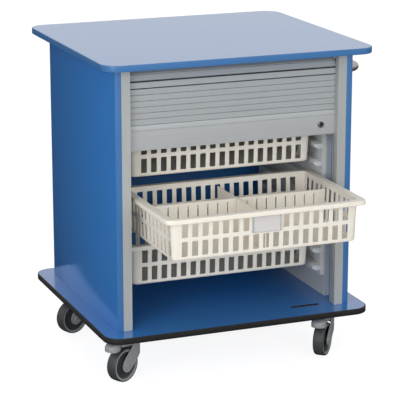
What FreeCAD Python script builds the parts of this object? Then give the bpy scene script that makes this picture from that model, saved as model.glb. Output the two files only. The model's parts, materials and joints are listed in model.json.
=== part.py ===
import FreeCAD, Part
import math
import os
import types

import Sketcher
from FreeCAD import Vector

# A mobile tray cabinet: two side panels, a back and a worktop on a base board with castors.
# Each piece is drawn from the cabinet's middle (x), its front (y) and the base board's top (z),
# then moved so that the document's origin lies on the floor under the middle of the whole unit.

# Driving dimensions in millimetres, angles in degrees: alias, value, meaning.
SIZES = (
    ("cabinet_width", 720, "over the two side panels"),
    ("cabinet_depth", 600, "front edge of the side panels to the back"),
    ("cabinet_height", 756, "base board's top to the worktop's underside"),
    ("panel_thickness", 18, "side panel"),
    ("back_thickness", 12, "back panel"),
    ("base_thickness", 18, "base board"),
    ("worktop_thickness", 18, "worktop board"),
    ("side_overhang", 48, "base and worktop beyond each side panel, edging included"),
    ("end_overhang", 63, "base and worktop beyond front and back, edging included"),
    ("plate_corner", 50, "corner radius of base and worktop"),
    ("bumper_thickness", 3, "rubber edging round the base"),
    ("edge_band_thickness", 2, "edging round the worktop"),
    ("post_width", 26, "front post, across"),
    ("post_depth", 32, "front post, front to back"),
    ("post_wall", 3, "wall of the post's hollow chamber"),
    ("groove_depth", 12, "curtain groove into post and head track"),
    ("slat_setback", 20, "curtain's front face behind the cabinet front"),
    ("slat_thickness", 8, "curtain slat"),
    ("slat_pitch", 17, "slat to slat"),
    ("slat_joint", 0.6, "open joint between slats"),
    ("slat_edge", 2, "slat's front and back walls beside its tongue"),
    ("bend_slat_height", 11, "slat in the bend, along the curtain"),
    ("slat_tongue", 3, "depth of the tongue that hinges in the next slat"),
    ("groove_clearance", 0.5, "curtain to either side of its groove"),
    ("curtain_end_clearance", 0.8, "curtain to the bottom of its groove"),
    ("bend_radius", 30, "curtain's middle plane round the bend at the top"),
    ("run_drop", 20, "stored curtain's middle plane below the worktop"),
    ("stored_length", 500, "stored curtain under the worktop"),
    ("bar_height", 73, "shutter's bottom bar"),
    ("bar_lower_face", 56, "flat face of the bar below its joint line"),
    ("bar_line", 1.4, "width and depth of the bar's joint line"),
    ("shutter_opening", 514, "open height below the bar at rest"),
    ("lock_inset", 88, "lock's axis from the side panel's outer face"),
    ("lock_height", 30, "lock's axis above the bar's lower edge"),
    ("lock_radius", 10, "lock escutcheon"),
    ("lock_barrel_radius", 8.5, "lock housing through the bar"),
    ("lock_plug_radius", 6.5, "turning lock plug"),
    ("lock_clearance", 0.05, "plug in its housing, radial"),
    ("plug_proud", 0.5, "plug in front of its housing"),
    ("key_slot_width", 1.6, "key slot in the plug"),
    ("key_slot_height", 6.5, "key slot in the plug"),
    ("lock_rim", 2.5, "escutcheon's thickness in front of the bar"),
    ("cam_length", 40, "lock cam from the plug's axis to its tip"),
    ("cam_half_width", 4, "half the cam's width"),
    ("cam_thickness", 3, "cam plate"),
    ("cam_clearance", 0.3, "cam to the bar's back and to its slot"),
    ("catch_slot_length", 90, "slot in the base board for the lock cam"),
    ("track_height", 44, "head track"),
    ("lining_thickness", 16, "side lining board"),
    ("lining_setback", 90, "lining's front edge behind the cabinet front"),
    ("runner_thickness", 10, "runner panel's plate"),
    ("runner_setback", 98, "runner panel's front edge behind the cabinet front"),
    ("runner_length", 402, "runner panel, front to back"),
    ("runner_foot", 63, "runner panel's lower edge above the base"),
    ("runner_head", 8, "runner panel's top edge below the head track"),
    ("ledge_reach", 26, "ledge out of the runner panel's plate"),
    ("ledge_height", 20, "ledge at its root"),
    ("ledge_nose", 13, "ledge at its edge"),
    ("ledge_pitch", 53.3, "ledge to ledge"),
    ("ledge_count", 12, "ledges on each side"),
    ("first_ledge", 99, "top of the lowest ledge above the base"),
    ("ledge_lead", 14, "sloping lead-in at each ledge's front end"),
    ("ledge_lead_drop", 5, "lead-in's fall to the front"),
    ("bottom_ledge", 2, "ledge that carries the bottom tray, counted from 0"),
    ("middle_ledge", 5, "ledge that carries the middle tray"),
    ("top_ledge", 8, "ledge that carries the top tray"),
    ("running_gap", 0.4, "tray lip above its ledge"),
    ("tray_width", 600, "over the tray's rim, across"),
    ("tray_depth", 400, "over the tray's rim, front to back"),
    ("tray_height", 122, "rim's top to the underside of the floor"),
    ("tray_wall", 2.5, "tray wall and floor"),
    ("tray_corner", 16, "corner radius of the tray's body"),
    ("tray_taper", 5, "each wall's slope over the tray's height"),
    ("rim_height", 13, "turned-down rim"),
    ("rim_reach", 20, "rim beyond the tray's wall"),
    ("rim_corner", 24, "corner radius of the rim"),
    ("rim_wall", 3, "rim's top and lip"),
    ("slot_width", 15.6, "slot in the tray's wall"),
    ("slot_height", 39, "slot in the tray's wall"),
    ("slot_pitch", 30, "slot to slot along a wall"),
    ("slot_foot", 12, "lower row above the tray's underside"),
    ("slot_between", 14, "between the two rows of slots"),
    ("slot_margin", 1, "least wall between the last slot and the tray's corner"),
    ("tray_setback", 80, "rim of a closed tray behind the cabinet front"),
    ("tray_travel", 318, "middle tray pulled out by"),
    ("divider_thickness", 2.5, "tray dividers"),
    ("divider_drop", 20, "dividers' top below the tray's rim"),
    ("divider_clearance", 0.5, "dividers to the tray's walls and each other"),
    ("divider_offset", 30, "long divider behind the tray's middle"),
    ("divider_slit", 3.5, "slits in the long divider"),
    ("divider_slit_margin", 9, "slits below the long divider's top"),
    ("grip_hole_radius", 7, "hole in the cross divider"),
    ("grip_hole_inset", 60, "hole's middle from the tray's rim"),
    ("grip_hole_drop", 14, "hole's middle below the divider's top"),
    ("holder_width", 85, "label holder, across"),
    ("holder_height", 48, "label holder"),
    ("holder_drop", 2, "label holder's top below the rim's lip"),
    ("holder_wall", 1.2, "label holder's wall"),
    ("holder_gap", 0.3, "label holder in front of the tray's wall"),
    ("card_thickness", 0.8, "label card"),
    ("card_clearance", 0.2, "card in its holder, each side"),
    ("holder_lip", 2.4, "label holder's lips over the card's sides"),
    ("hook_width", 8, "label holder's hooks"),
    ("hook_thickness", 2.4, "label holder's hooks"),
    ("hook_drop", 9.6, "label holder's hooks below the slot's top, and their own height"),
    ("handle_radius", 12.5, "push handle's tube"),
    ("handle_wall", 1.5, "push handle's tube wall"),
    ("handle_projection", 64, "handle beyond the side panel"),
    ("handle_bend", 38, "bend of the tube's middle line"),
    ("handle_height", 695, "tube's middle above the base"),
    ("handle_front", 62.5, "tube's front end behind the cabinet front"),
    ("handle_back", 537.5, "tube's back end behind the cabinet front"),
    ("flange_radius", 23, "handle flange"),
    ("flange_thickness", 4, "handle flange"),
    ("flange_clearance", 0.1, "flange round the tube"),
    ("screw_radius", 2, "handle screw"),
    ("screw_head_radius", 3.6, "handle screw's cylinder head, let into the flange"),
    ("screw_length", 16, "handle screw"),
    ("screw_circle", 17.8, "handle screws from the tube's middle line"),
    ("castor_height", 134, "base board's underside to the floor"),
    ("castor_side_inset", 52, "swivel axis from the side panel's outer face"),
    ("castor_front_inset", 32, "front swivel axis from the cabinet's front"),
    ("castor_back_inset", 115, "rear swivel axis from the cabinet's back"),
    ("castor_trail", 40, "axle beside the swivel axis"),
    ("front_left_turn", 208.5, "direction of each castor's trail"),
    ("front_right_turn", 227.8, "direction of each castor's trail"),
    ("back_left_turn", 200.4, "direction of each castor's trail"),
    ("back_right_turn", 215, "direction of each castor's trail"),
    ("plate_size", 84, "castor's top plate, square"),
    ("plate_thickness", 3, "castor's top plate"),
    ("plate_round", 8, "corner radius of the top plate"),
    ("bolt_spacing", 60, "castor bolts, square pattern"),
    ("bolt_radius", 4, "castor bolt"),
    ("bolt_head_radius", 7, "castor bolt's round head"),
    ("bolt_head_height", 3, "castor bolt's round head"),
    ("race_radius", 27, "swivel bearing housing"),
    ("race_depth", 6, "swivel bearing housing below the plate"),
    ("swivel_clearance", 0.3, "fork below its bearing housing"),
    ("kingpin_radius", 6, "swivel pin"),
    ("kingpin_head_radius", 10, "riveted end of the swivel pin"),
    ("pin_clearance", 0.05, "pins in their holes, radial"),
    ("crown_radius", 33, "fork's crown"),
    ("crown_depth", 8, "fork's crown"),
    ("crown_wall", 4, "fork's crown at its middle"),
    ("fork_wall", 3, "fork legs and back"),
    ("fork_back", 25, "fork's round back, behind the swivel axis"),
    ("fork_back_foot", 58, "foot of the fork's round back, below the base board"),
    ("fork_front", 16, "front edge of the fork's legs at the top, from the swivel axis"),
    ("fork_front_foot", 30, "foot of the legs' upright front edge, below the base board"),
    ("fork_knee", 34, "knee of the legs' front edge, from the swivel axis"),
    ("fork_knee_drop", 47, "knee of the legs' front edge, below the base board"),
    ("fork_clearance", 3, "wheel to fork leg"),
    ("fork_boss", 20, "fork leg's round end"),
    ("wheel_radius", 50, "over the tread"),
    ("wheel_width", 32, "tread"),
    ("tread_thickness", 3.5, "rubber tread bonded round the wheel centre"),
    ("tread_shoulder", 2, "tread's round shoulder"),
    ("web_half_width", 11, "wheel centre's recessed web"),
    ("rim_half_width", 15, "wheel centre's rim"),
    ("rim_band", 9.5, "wheel centre's rim, radial"),
    ("hub_radius", 13, "wheel hub"),
    ("hub_clearance", 0.5, "hub to fork leg"),
    ("axle_radius", 5, "castor axle"),
    ("axle_head_radius", 8, "castor axle's riveted heads"),
    ("axle_head_height", 2.5, "castor axle's riveted heads"),
    ("pedal_pivot_x", 4, "brake pedal's pivot beside the swivel axis"),
    ("pedal_pivot_drop", 28, "brake pedal's pivot below the base board"),
    ("pedal_reach", 101, "brake pedal's tip from the swivel axis"),
    ("pedal_width", 44, "brake pedal's cap"),
    ("pedal_thickness", 3, "brake pedal's wall"),
    ("pedal_corner", 14, "corner radius of the brake pedal's cap"),
    ("pedal_cap_start", 57, "inner edge of the brake pedal's cap from the swivel axis"),
    ("pedal_drop", 9, "brake pedal's top below the base board"),
    ("pedal_hub_radius", 6, "brake pedal round its pin"),
    ("pedal_pin_radius", 3, "brake pedal's pin"),
    ("pedal_clearance", 0.5, "brake pedal to fork legs"),
    ("pedal_arm_gap", 1.5, "brake pedal's arm below the fork's crown"),
    ("pedal_lip", 26, "brake pedal cap's height"),
)


class Size:
    """A length that keeps its value and the sheet expression that gives it."""

    def __init__(self, text, value):
        self.text = text
        self.value = value

    def __add__(self, other):
        other = as_size(other)
        return Size(f"({self.text} + {other.text})", self.value + other.value)

    def __sub__(self, other):
        other = as_size(other)
        return Size(f"({self.text} - {other.text})", self.value - other.value)

    def __mul__(self, other):
        other = as_size(other)
        return Size(f"({self.text} * {other.text})", self.value * other.value)

    def __truediv__(self, other):
        other = as_size(other)
        return Size(f"({self.text} / {other.text})", self.value / other.value)

    def __radd__(self, other):
        return as_size(other) + self

    def __rsub__(self, other):
        return as_size(other) - self

    def __rmul__(self, other):
        return as_size(other) * self

    def __neg__(self):
        return as_size(0) - self


def as_size(number):
    return number if isinstance(number, Size) else Size(f"({number})", number)


def larger(one, other):
    return Size(f"max({one.text}; {other.text})", max(one.value, other.value))


def whole(number):
    return Size(f"floor({number.text})", math.floor(number.value))


doc = FreeCAD.newDocument("TrayCabinet")
sheet = doc.addObject("Spreadsheet::Sheet", "Sizes")
for row, (alias, number, meaning) in enumerate(SIZES, start=1):
    sheet.set(f"A{row}", meaning)
    sheet.set(f"B{row}", str(number))
    sheet.setAlias(f"B{row}", alias)
doc.recompute()
size = types.SimpleNamespace(**{alias: Size(f"Sizes.{alias}", number) for alias, number, _ in SIZES})
pieces = []


# ---- drawing and building --------------------------------------------------


def bind(thing, name, value):
    thing.setExpression(name, as_size(value).text)


def new_body(label):
    body = doc.addObject("PartDesign::Body", label)
    body.Label = label
    body.AllowCompound = True
    pieces.append(body)
    return body


def new_solid(kind, label):
    solid = doc.addObject(kind, label)
    solid.Label = label
    pieces.append(solid)
    return solid


def origin_part(body, role):
    return next(part for part in body.Origin.OriginFeatures if part.Role == role)


def hold(sketch, kind, where, value):
    """Fix one distance or radius in a sketch to a size."""
    value = as_size(value)
    index = sketch.addConstraint(Sketcher.Constraint(kind, *where, value.value))
    name = f"{kind}{index}"
    sketch.renameConstraint(index, name)
    bind(sketch, f"Constraints.{name}", value)


def polygon(*points):
    """A closed outline with straight sides."""

    def draw(sketch):
        first = sketch.GeometryCount
        spots = [Vector(as_size(x).value, as_size(y).value, 0) for x, y in points]
        for start, end in zip(spots, spots[1:] + spots[:1]):
            sketch.addGeometry(Part.LineSegment(start, end), False)
        for number, (x, y) in enumerate(points):
            line, after = first + number, first + (number + 1) % len(points)
            sketch.addConstraint(Sketcher.Constraint("Coincident", line, 2, after, 1))
            hold(sketch, "DistanceX", (-1, 1, line, 1), x)
            hold(sketch, "DistanceY", (-1, 1, line, 1), y)

    return draw


def box(x0, x1, y0, y1):
    return polygon((x0, y0), (x1, y0), (x1, y1), (x0, y1))


def circle(x, y, radius):
    def draw(sketch):
        x_size, y_size, round_size = as_size(x), as_size(y), as_size(radius)
        centre = Vector(x_size.value, y_size.value, 0)
        ring = sketch.addGeometry(Part.Circle(centre, Vector(0, 0, 1), round_size.value), False)
        hold(sketch, "DistanceX", (-1, 1, ring, 3), x_size)
        hold(sketch, "DistanceY", (-1, 1, ring, 3), y_size)
        hold(sketch, "Radius", (ring,), round_size)

    return draw


def rounded_box(x0, x1, y0, y1, radius):
    """A rectangle with four equal round corners."""

    def draw(sketch):
        left, right, near, far, bend = (as_size(value) for value in (x0, x1, y0, y1, radius))
        corners = (
            (left + bend, near + bend, 180),
            (right - bend, near + bend, 270),
            (right - bend, far - bend, 0),
            (left + bend, far - bend, 90),
        )
        arcs = []
        for x, y, start in corners:
            ring = Part.Circle(Vector(x.value, y.value, 0), Vector(0, 0, 1), bend.value)
            arc = Part.ArcOfCircle(ring, math.radians(start), math.radians(start + 90))
            arcs.append(sketch.addGeometry(arc, False))
            hold(sketch, "DistanceX", (-1, 1, arcs[-1], 3), x)
            hold(sketch, "DistanceY", (-1, 1, arcs[-1], 3), y)
            hold(sketch, "Radius", (arcs[-1],), bend)
        for arc, after in zip(arcs, arcs[1:] + arcs[:1]):
            start, end = sketch.getPoint(arc, 2), sketch.getPoint(after, 1)
            line = sketch.addGeometry(Part.LineSegment(start, end), False)
            sketch.addConstraint(Sketcher.Constraint("Tangent", arc, 2, line, 1))
            sketch.addConstraint(Sketcher.Constraint("Tangent", line, 2, after, 1))

    return draw


def sketch_on(body, plane, level, *outlines):
    """A sketch on one of the body's own planes, moved along the plane's axis to level."""
    sketch = body.newObject("Sketcher::SketchObject", "outline")
    sketch.AttachmentSupport = [(origin_part(body, f"{plane}_Plane"), "")]
    sketch.MapMode = "FlatFace"
    level = as_size(level)
    bind(sketch, "AttachmentOffset.Base.z", -level if plane == "XZ" else level)
    for draw in outlines:
        draw(sketch)
    return sketch


def pad(body, plane, start, length, *outlines):
    """Solid from start to start + length along X (YZ), Y (XZ) or Z (XY)."""
    feature = body.newObject("PartDesign::Pad", "pad")
    feature.Profile = sketch_on(body, plane, start, *outlines)
    feature.Reversed = plane == "XZ"
    bind(feature, "Length", length)
    return feature


def pocket(body, plane, start, length, *outlines):
    """Cut from start to start + length along X (YZ), Y (XZ) or Z (XY)."""
    feature = body.newObject("PartDesign::Pocket", "pocket")
    feature.Profile = sketch_on(body, plane, start, *outlines)
    feature.Reversed = plane != "XZ"
    bind(feature, "Length", length)
    return feature


# Length of the construction line that stands for a turning axis.
AXIS_MARK = 10


def turned(body, plane, level, axis_x, *outlines):
    """A ring or disc turned about the sketch line x = axis_x."""
    feature = body.newObject("PartDesign::Revolution", "turned")
    sketch = sketch_on(body, plane, level, *outlines)
    x = as_size(axis_x)
    ends = Vector(x.value, 0, 0), Vector(x.value, AXIS_MARK, 0)
    axis = sketch.addGeometry(Part.LineSegment(*ends), True)
    for end, y in ((1, 0), (2, AXIS_MARK)):
        hold(sketch, "DistanceX", (-1, 1, axis, end), x)
        hold(sketch, "DistanceY", (-1, 1, axis, end), y)
    feature.Profile = sketch
    feature.ReferenceAxis = (sketch, ["Axis0"])
    feature.Angle = 360
    return feature


def row_of(body, features, axis, spacing, count):
    """The features repeated along one of the body's axes."""
    pattern = body.newObject("PartDesign::LinearPattern", "row")
    pattern.Originals = features
    pattern.Direction = (origin_part(body, f"{axis}_Axis"), [""])
    pattern.Mode = "Spacing"
    bind(pattern, "Offset", spacing)
    bind(pattern, "Occurrences", count)
    body.Tip = pattern
    return pattern


# ---- where things lie ------------------------------------------------------

half_width = size.cabinet_width / 2
inside = half_width - size.panel_thickness
post_inner = inside - size.post_width
groove_bottom = post_inner + size.groove_depth
back_inner = size.cabinet_depth - size.back_thickness
slat_back = size.slat_setback + size.slat_thickness
slat_middle = size.slat_setback + size.slat_thickness / 2
curtain_half = groove_bottom - size.curtain_end_clearance
run_height = size.cabinet_height - size.run_drop
bend_start = run_height - size.bend_radius
bend_back = slat_middle + size.bend_radius
lining_height = size.cabinet_height - size.track_height
lining_inner = inside - size.lining_thickness
runner_inner = lining_inner - size.runner_thickness
lock_x = half_width - size.lock_inset

right_reach = half_width + larger(size.handle_projection, size.side_overhang)
left_reach = half_width + size.side_overhang
front_reach = size.tray_travel - size.tray_setback
back_reach = size.cabinet_depth + size.end_overhang
middle_x = (left_reach - right_reach) / 2
middle_y = (front_reach - back_reach) / 2
base_top = size.castor_height + size.base_thickness


def place(piece, x=0, y=0, z=0):
    """Seat a piece at x from the middle, y from the front and z above the base board's top."""
    bind(piece, "Placement.Base.x", middle_x + x)
    bind(piece, "Placement.Base.y", middle_y + y)
    bind(piece, "Placement.Base.z", base_top + z)


def mirrored_span(side, near, far):
    """The x range between two distances from the middle, on the left (-1) or right (1)."""
    return (near, far) if side > 0 else (-far, -near)


SIDES = (("left", -1), ("right", 1))


# ---- worktop, base and panels ----------------------------------------------


def plate_outline(inset):
    """Base and worktop share one outline with round corners, inset from the outer edge."""
    x = left_reach - inset
    front = -(size.end_overhang - inset)
    return rounded_box(-x, x, front, back_reach - inset, size.plate_corner - inset)


def make_board(label, bottom, thickness, edging):
    board = new_body(label)
    pad(board, "XY", 0, thickness, plate_outline(edging))
    place(board, z=bottom)
    return board


def make_edging(label, bottom, thickness, edging):
    band = new_body(label)
    pad(band, "XY", 0, thickness, plate_outline(0), plate_outline(edging))
    place(band, z=bottom)


make_board("worktop", size.cabinet_height, size.worktop_thickness, size.edge_band_thickness)
make_edging("worktop_edge", size.cabinet_height, size.worktop_thickness, size.edge_band_thickness)

base = make_board("base_board", -size.base_thickness, size.base_thickness, size.bumper_thickness)
make_edging("base_bumper", -size.base_thickness, size.base_thickness, size.bumper_thickness)

# The lock's cam drops into this slot when the shutter is right down.
cam_front = slat_back + size.cam_clearance
slot_right = lock_x + size.cam_half_width + size.cam_clearance * 2
pocket(
    base,
    "XY",
    0,
    size.base_thickness,
    box(
        slot_right - size.catch_slot_length,
        slot_right,
        size.slat_setback + size.cam_thickness,
        cam_front + size.cam_thickness + size.cam_clearance,
    ),
)


def make_side_panel(name, side):
    panel = new_body(f"side_panel_{name}")
    near, _ = mirrored_span(side, inside, half_width)
    pad(panel, "YZ", near, size.panel_thickness, box(0, size.cabinet_depth, 0, size.cabinet_height))
    place(panel)
    return panel


panels = {name: make_side_panel(name, side) for name, side in SIDES}

back = new_body("back_panel")
pad(back, "XZ", back_inner, size.back_thickness, box(-inside, inside, 0, size.cabinet_height))
place(back)


# ---- posts, head tracks, linings and runners -------------------------------

groove_front = size.slat_setback - size.groove_clearance
groove_back = slat_back + size.groove_clearance


def make_post(name, side):
    """An extruded post with a hollow front chamber and the curtain's groove in its inner side."""
    post = new_body(f"track_post_{name}")
    outer = mirrored_span(side, post_inner, inside)
    hollow = mirrored_span(side, post_inner + size.post_wall, inside - size.post_wall)
    groove = mirrored_span(side, post_inner - size.post_wall, groove_bottom)
    pad(
        post,
        "XY",
        0,
        size.cabinet_height,
        box(*outer, 0, size.post_depth),
        box(*hollow, size.post_wall, groove_front - size.post_wall),
    )
    pocket(post, "XY", 0, size.cabinet_height, box(*groove, groove_front, groove_back))
    # The groove's back lip ends below the bend, where the curtain turns to the rear.
    lip_end = bend_start - size.slat_thickness
    lip = box(*groove, groove_front, size.post_depth + size.post_wall)
    pocket(post, "XY", lip_end, size.cabinet_height - lip_end, lip)
    place(post)


def make_head_track(name, side):
    """A rail under the worktop whose groove carries on from the post's, round the bend."""
    track = new_body(f"head_track_{name}")
    near, _ = mirrored_span(side, post_inner, inside)
    pad(
        track,
        "YZ",
        near,
        size.post_width,
        box(size.post_depth, back_inner, lining_height, size.cabinet_height),
    )
    groove = mirrored_span(side, post_inner - size.post_wall, groove_bottom)
    section = sketch_on(track, "XY", bend_start, box(*groove, groove_front, groove_back))
    path = sketch_on(track, "YZ", 0, bend_path)
    channel = track.newObject("PartDesign::SubtractivePipe", "channel")
    channel.Profile = section
    channel.Spine = path
    track.Tip = channel
    place(track)


def bend_path(sketch):
    """The curtain's middle plane: a quarter turn, then straight back to the back panel."""
    centre = Vector(bend_back.value, bend_start.value, 0)
    ring = Part.Circle(centre, Vector(0, 0, 1), size.bend_radius.value)
    arc = sketch.addGeometry(Part.ArcOfCircle(ring, math.pi / 2, math.pi), False)
    hold(sketch, "DistanceX", (-1, 1, arc, 3), bend_back)
    hold(sketch, "DistanceY", (-1, 1, arc, 3), bend_start)
    hold(sketch, "DistanceX", (-1, 1, arc, 1), bend_back)
    hold(sketch, "DistanceY", (-1, 1, arc, 1), run_height)
    hold(sketch, "DistanceY", (-1, 1, arc, 2), bend_start)
    top = Vector(bend_back.value, run_height.value, 0)
    end = Vector(size.cabinet_depth.value, run_height.value, 0)
    run = sketch.addGeometry(Part.LineSegment(top, end), False)
    sketch.addConstraint(Sketcher.Constraint("Coincident", arc, 1, run, 1))
    hold(sketch, "DistanceX", (-1, 1, run, 2), size.cabinet_depth)
    hold(sketch, "DistanceY", (-1, 1, run, 2), run_height)


def make_lining(name, side):
    lining = new_body(f"lining_{name}")
    near, _ = mirrored_span(side, lining_inner, inside)
    outline = box(size.lining_setback, back_inner, 0, lining_height)
    pad(lining, "YZ", near, size.lining_thickness, outline)
    place(lining)


def make_runner(name, side):
    """A moulded panel with a ladder of ledges, each lead-in sloping down to the front."""
    runner = new_body(f"runner_panel_{name}")
    near, _ = mirrored_span(side, runner_inner, lining_inner)
    back_edge = size.runner_setback + size.runner_length
    outline = box(size.runner_setback, back_edge, size.runner_foot, lining_height - size.runner_head)
    pad(runner, "YZ", near, size.runner_thickness, outline)
    root, edge, chamfer = (
        side * runner_inner,
        side * (runner_inner - size.ledge_reach),
        side * (runner_inner - size.ledge_reach / 2),
    )
    top = size.first_ledge
    ledge = pad(
        runner,
        "XZ",
        size.runner_setback,
        size.runner_length,
        polygon(
            (root, top),
            (edge, top),
            (edge, top - size.ledge_nose),
            (chamfer, top - size.ledge_height),
            (root, top - size.ledge_height),
        ),
    )
    start, _ = mirrored_span(side, runner_inner - size.ledge_reach, runner_inner)
    front = size.runner_setback
    lead = pocket(
        runner,
        "YZ",
        start,
        size.ledge_reach,
        polygon(
            (front, top),
            (front, top - size.ledge_lead_drop),
            (front + size.ledge_lead, top),
        ),
    )
    row_of(runner, [ledge, lead], "Z", size.ledge_pitch, size.ledge_count)
    place(runner)


for name, side in SIDES:
    make_post(name, side)
    make_head_track(name, side)
    make_lining(name, side)
    make_runner(name, side)


# ---- shutter ---------------------------------------------------------------

bar_top = size.shutter_opening + size.bar_height
curtain_rise = bend_start - bar_top
curtain_count = whole(curtain_rise / size.slat_pitch)
curtain_pitch = curtain_rise / curtain_count


def slat_section(front, foot, pitch):
    """One slat: a hinge tongue along the top and the groove that takes the next one below."""
    joint, tongue, edge = size.slat_joint, size.slat_tongue, size.slat_edge
    rear = front + size.slat_thickness
    top = foot + pitch - joint
    return (
        (front, foot),
        (front + edge - joint / 2, foot),
        (front + edge - joint / 2, foot + tongue),
        (rear - edge + joint / 2, foot + tongue),
        (rear - edge + joint / 2, foot),
        (rear, foot),
        (rear, top),
        (rear - edge, top),
        (rear - edge, top + tongue),
        (front + edge, top + tongue),
        (front + edge, top),
        (front, top),
    )


bar = new_body("shutter_bar")
groove_level = size.bar_lower_face
pad(
    bar,
    "YZ",
    -curtain_half,
    curtain_half * 2,
    polygon(
        (size.slat_setback, 0),
        (slat_back, 0),
        (slat_back, size.bar_height),
        (size.slat_setback, size.bar_height),
        (size.slat_setback, groove_level + size.bar_line),
        (size.slat_setback + size.bar_line, groove_level + size.bar_line / 2),
        (size.slat_setback, groove_level),
    ),
)
lock_hole = circle(lock_x, size.lock_height, size.lock_barrel_radius)
pocket(bar, "XZ", size.slat_setback, size.slat_thickness, lock_hole)
place(bar, z=size.shutter_opening)

# The slats between the bar and the bend stretch up to it when the bar comes down.
curtain = new_body("shutter_curtain")
slat = pad(
    curtain,
    "YZ",
    -curtain_half,
    curtain_half * 2,
    polygon(*slat_section(size.slat_setback, as_size(0), curtain_pitch)),
)
row_of(curtain, [slat], "Z", curtain_pitch, curtain_count)
# The topmost tongue is cut off where the bend begins.
pocket(
    curtain,
    "XY",
    curtain_rise - size.slat_joint,
    size.slat_pitch,
    box(-curtain_half, curtain_half, size.slat_setback, slat_back),
)
place(curtain, z=bar_top)


def make_stored_slats():
    """The slats round the bend and flat under the worktop, each a plain bar."""
    stored = new_solid("Part::Feature", "stored_slats")
    width = size.slat_pitch.value - size.slat_joint.value
    length = curtain_half.value * 2
    quarter_turn = math.pi / 2 * size.bend_radius.value
    bend_count = round(quarter_turn / size.slat_pitch.value)
    bars = []
    for number in range(bend_count):
        angle = 90 * (number + 0.5) / bend_count
        sloped = Part.makeBox(length, size.slat_thickness.value, size.bend_slat_height.value)
        sloped.translate(-sloped.CenterOfMass)
        sloped.rotate(Vector(0, 0, 0), Vector(1, 0, 0), -angle)
        turn = math.radians(angle)
        sloped.translate(
            Vector(
                0,
                bend_back.value - size.bend_radius.value * math.cos(turn),
                bend_start.value + size.bend_radius.value * math.sin(turn),
            )
        )
        bars.append(sloped)
    for number in range(int(size.stored_length.value // size.slat_pitch.value)):
        flat = Part.makeBox(length, width, size.slat_thickness.value)
        y = bend_back.value + size.slat_joint.value + number * size.slat_pitch.value
        z = run_height.value - size.slat_thickness.value / 2
        flat.translate(Vector(-length / 2, y, z))
        bars.append(flat)
    stored.Shape = Part.makeCompound(bars)
    place(stored)


make_stored_slats()

# Front view of the lock: the housing sits in the bar, the plug turns in it and swings the cam.
bore = size.lock_plug_radius + size.lock_clearance
rim_front = size.slat_setback - size.lock_rim
housing = new_body("lock_escutcheon")
rim_disc = (circle(lock_x, size.lock_height, size.lock_radius), circle(lock_x, size.lock_height, bore))
barrel = (lock_hole, circle(lock_x, size.lock_height, bore))
pad(housing, "XZ", rim_front, size.lock_rim, *rim_disc)
pad(housing, "XZ", size.slat_setback, size.slat_thickness, *barrel)
place(housing, z=size.shutter_opening)

plug = new_body("lock_cylinder")
plug_front = rim_front - size.plug_proud
plug_length = cam_front + size.cam_thickness - plug_front
plug_ring = circle(lock_x, size.lock_height, size.lock_plug_radius)
pad(plug, "XZ", plug_front, plug_length, plug_ring)
pad(
    plug,
    "XZ",
    cam_front,
    size.cam_thickness,
    box(
        lock_x - size.cam_length,
        lock_x,
        size.lock_height - size.cam_half_width,
        size.lock_height + size.cam_half_width,
    ),
)
key_slot = box(
    lock_x - size.key_slot_width / 2,
    lock_x + size.key_slot_width / 2,
    size.lock_height - size.key_slot_height / 2,
    size.lock_height + size.key_slot_height / 2,
)
pocket(plug, "XZ", plug_front, size.lock_rim, key_slot)
place(plug, z=size.shutter_opening)


# ---- trays -----------------------------------------------------------------

# A tray is drawn about the middle of its rim, with z = 0 at the underside of the rim's lip.
half_tray_x = size.tray_width / 2
half_tray_y = size.tray_depth / 2
wall_x = half_tray_x - size.rim_reach
wall_y = half_tray_y - size.rim_reach
tray_foot = size.rim_height - size.tray_height
rim_under = size.rim_height - size.rim_wall
upper_row = tray_foot + size.slot_foot + size.slot_height + size.slot_between
lower_row = tray_foot + size.slot_foot


def inner_half(half, height):
    """Half the clear width between two sloping walls at a height in the tray."""
    slope = size.tray_taper / (rim_under - tray_foot)
    return half - size.tray_wall - (rim_under - height) * slope


def make_tray(name, ledge, pulled_out):
    """A tapered basket with a turned-down rim and two rows of slots in every wall."""
    tray = new_body(f"tray_{name}")
    foot_x, foot_y = wall_x - size.tray_taper, wall_y - size.tray_taper
    outer_top = rounded_box(-wall_x, wall_x, -wall_y, wall_y, size.tray_corner)
    outer_foot = rounded_box(-foot_x, foot_x, -foot_y, foot_y, size.tray_corner)
    shell = tray.newObject("PartDesign::AdditiveLoft", "tub")
    shell.Profile = sketch_on(tray, "XY", tray_foot, outer_foot)
    shell.Sections = [sketch_on(tray, "XY", size.rim_height, outer_top)]
    shell.Ruled = True
    doc.recompute()
    top_face = max(range(len(shell.Shape.Faces)), key=lambda n: shell.Shape.Faces[n].CenterOfMass.z)
    hollow = tray.newObject("PartDesign::Thickness", "hollow")
    hollow.Base = (shell, [f"Face{top_face + 1}"])
    bind(hollow, "Value", size.tray_wall)
    hollow.Mode = "Skin"
    hollow.Join = "Arc"
    hollow.Reversed = True
    rim = rounded_box(-half_tray_x, half_tray_x, -half_tray_y, half_tray_y, size.rim_corner)
    inset_x, inset_y = half_tray_x - size.rim_wall, half_tray_y - size.rim_wall
    inner_corner = size.rim_corner - size.rim_wall
    lip = rounded_box(-inset_x, inset_x, -inset_y, inset_y, inner_corner)
    mouth_x, mouth_y = wall_x - size.tray_wall, wall_y - size.tray_wall
    mouth = rounded_box(-mouth_x, mouth_x, -mouth_y, mouth_y, size.tray_corner - size.tray_wall)
    pad(tray, "XY", rim_under, size.rim_wall, rim, mouth)
    pad(tray, "XY", 0, rim_under, rim, lip)
    cut_slots(tray, "XZ", "X", wall_x, half_tray_y)
    cut_slots(tray, "YZ", "Y", wall_y, half_tray_x)
    seat_on_ledge(tray, ledge, pulled_out)
    return tray


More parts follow.
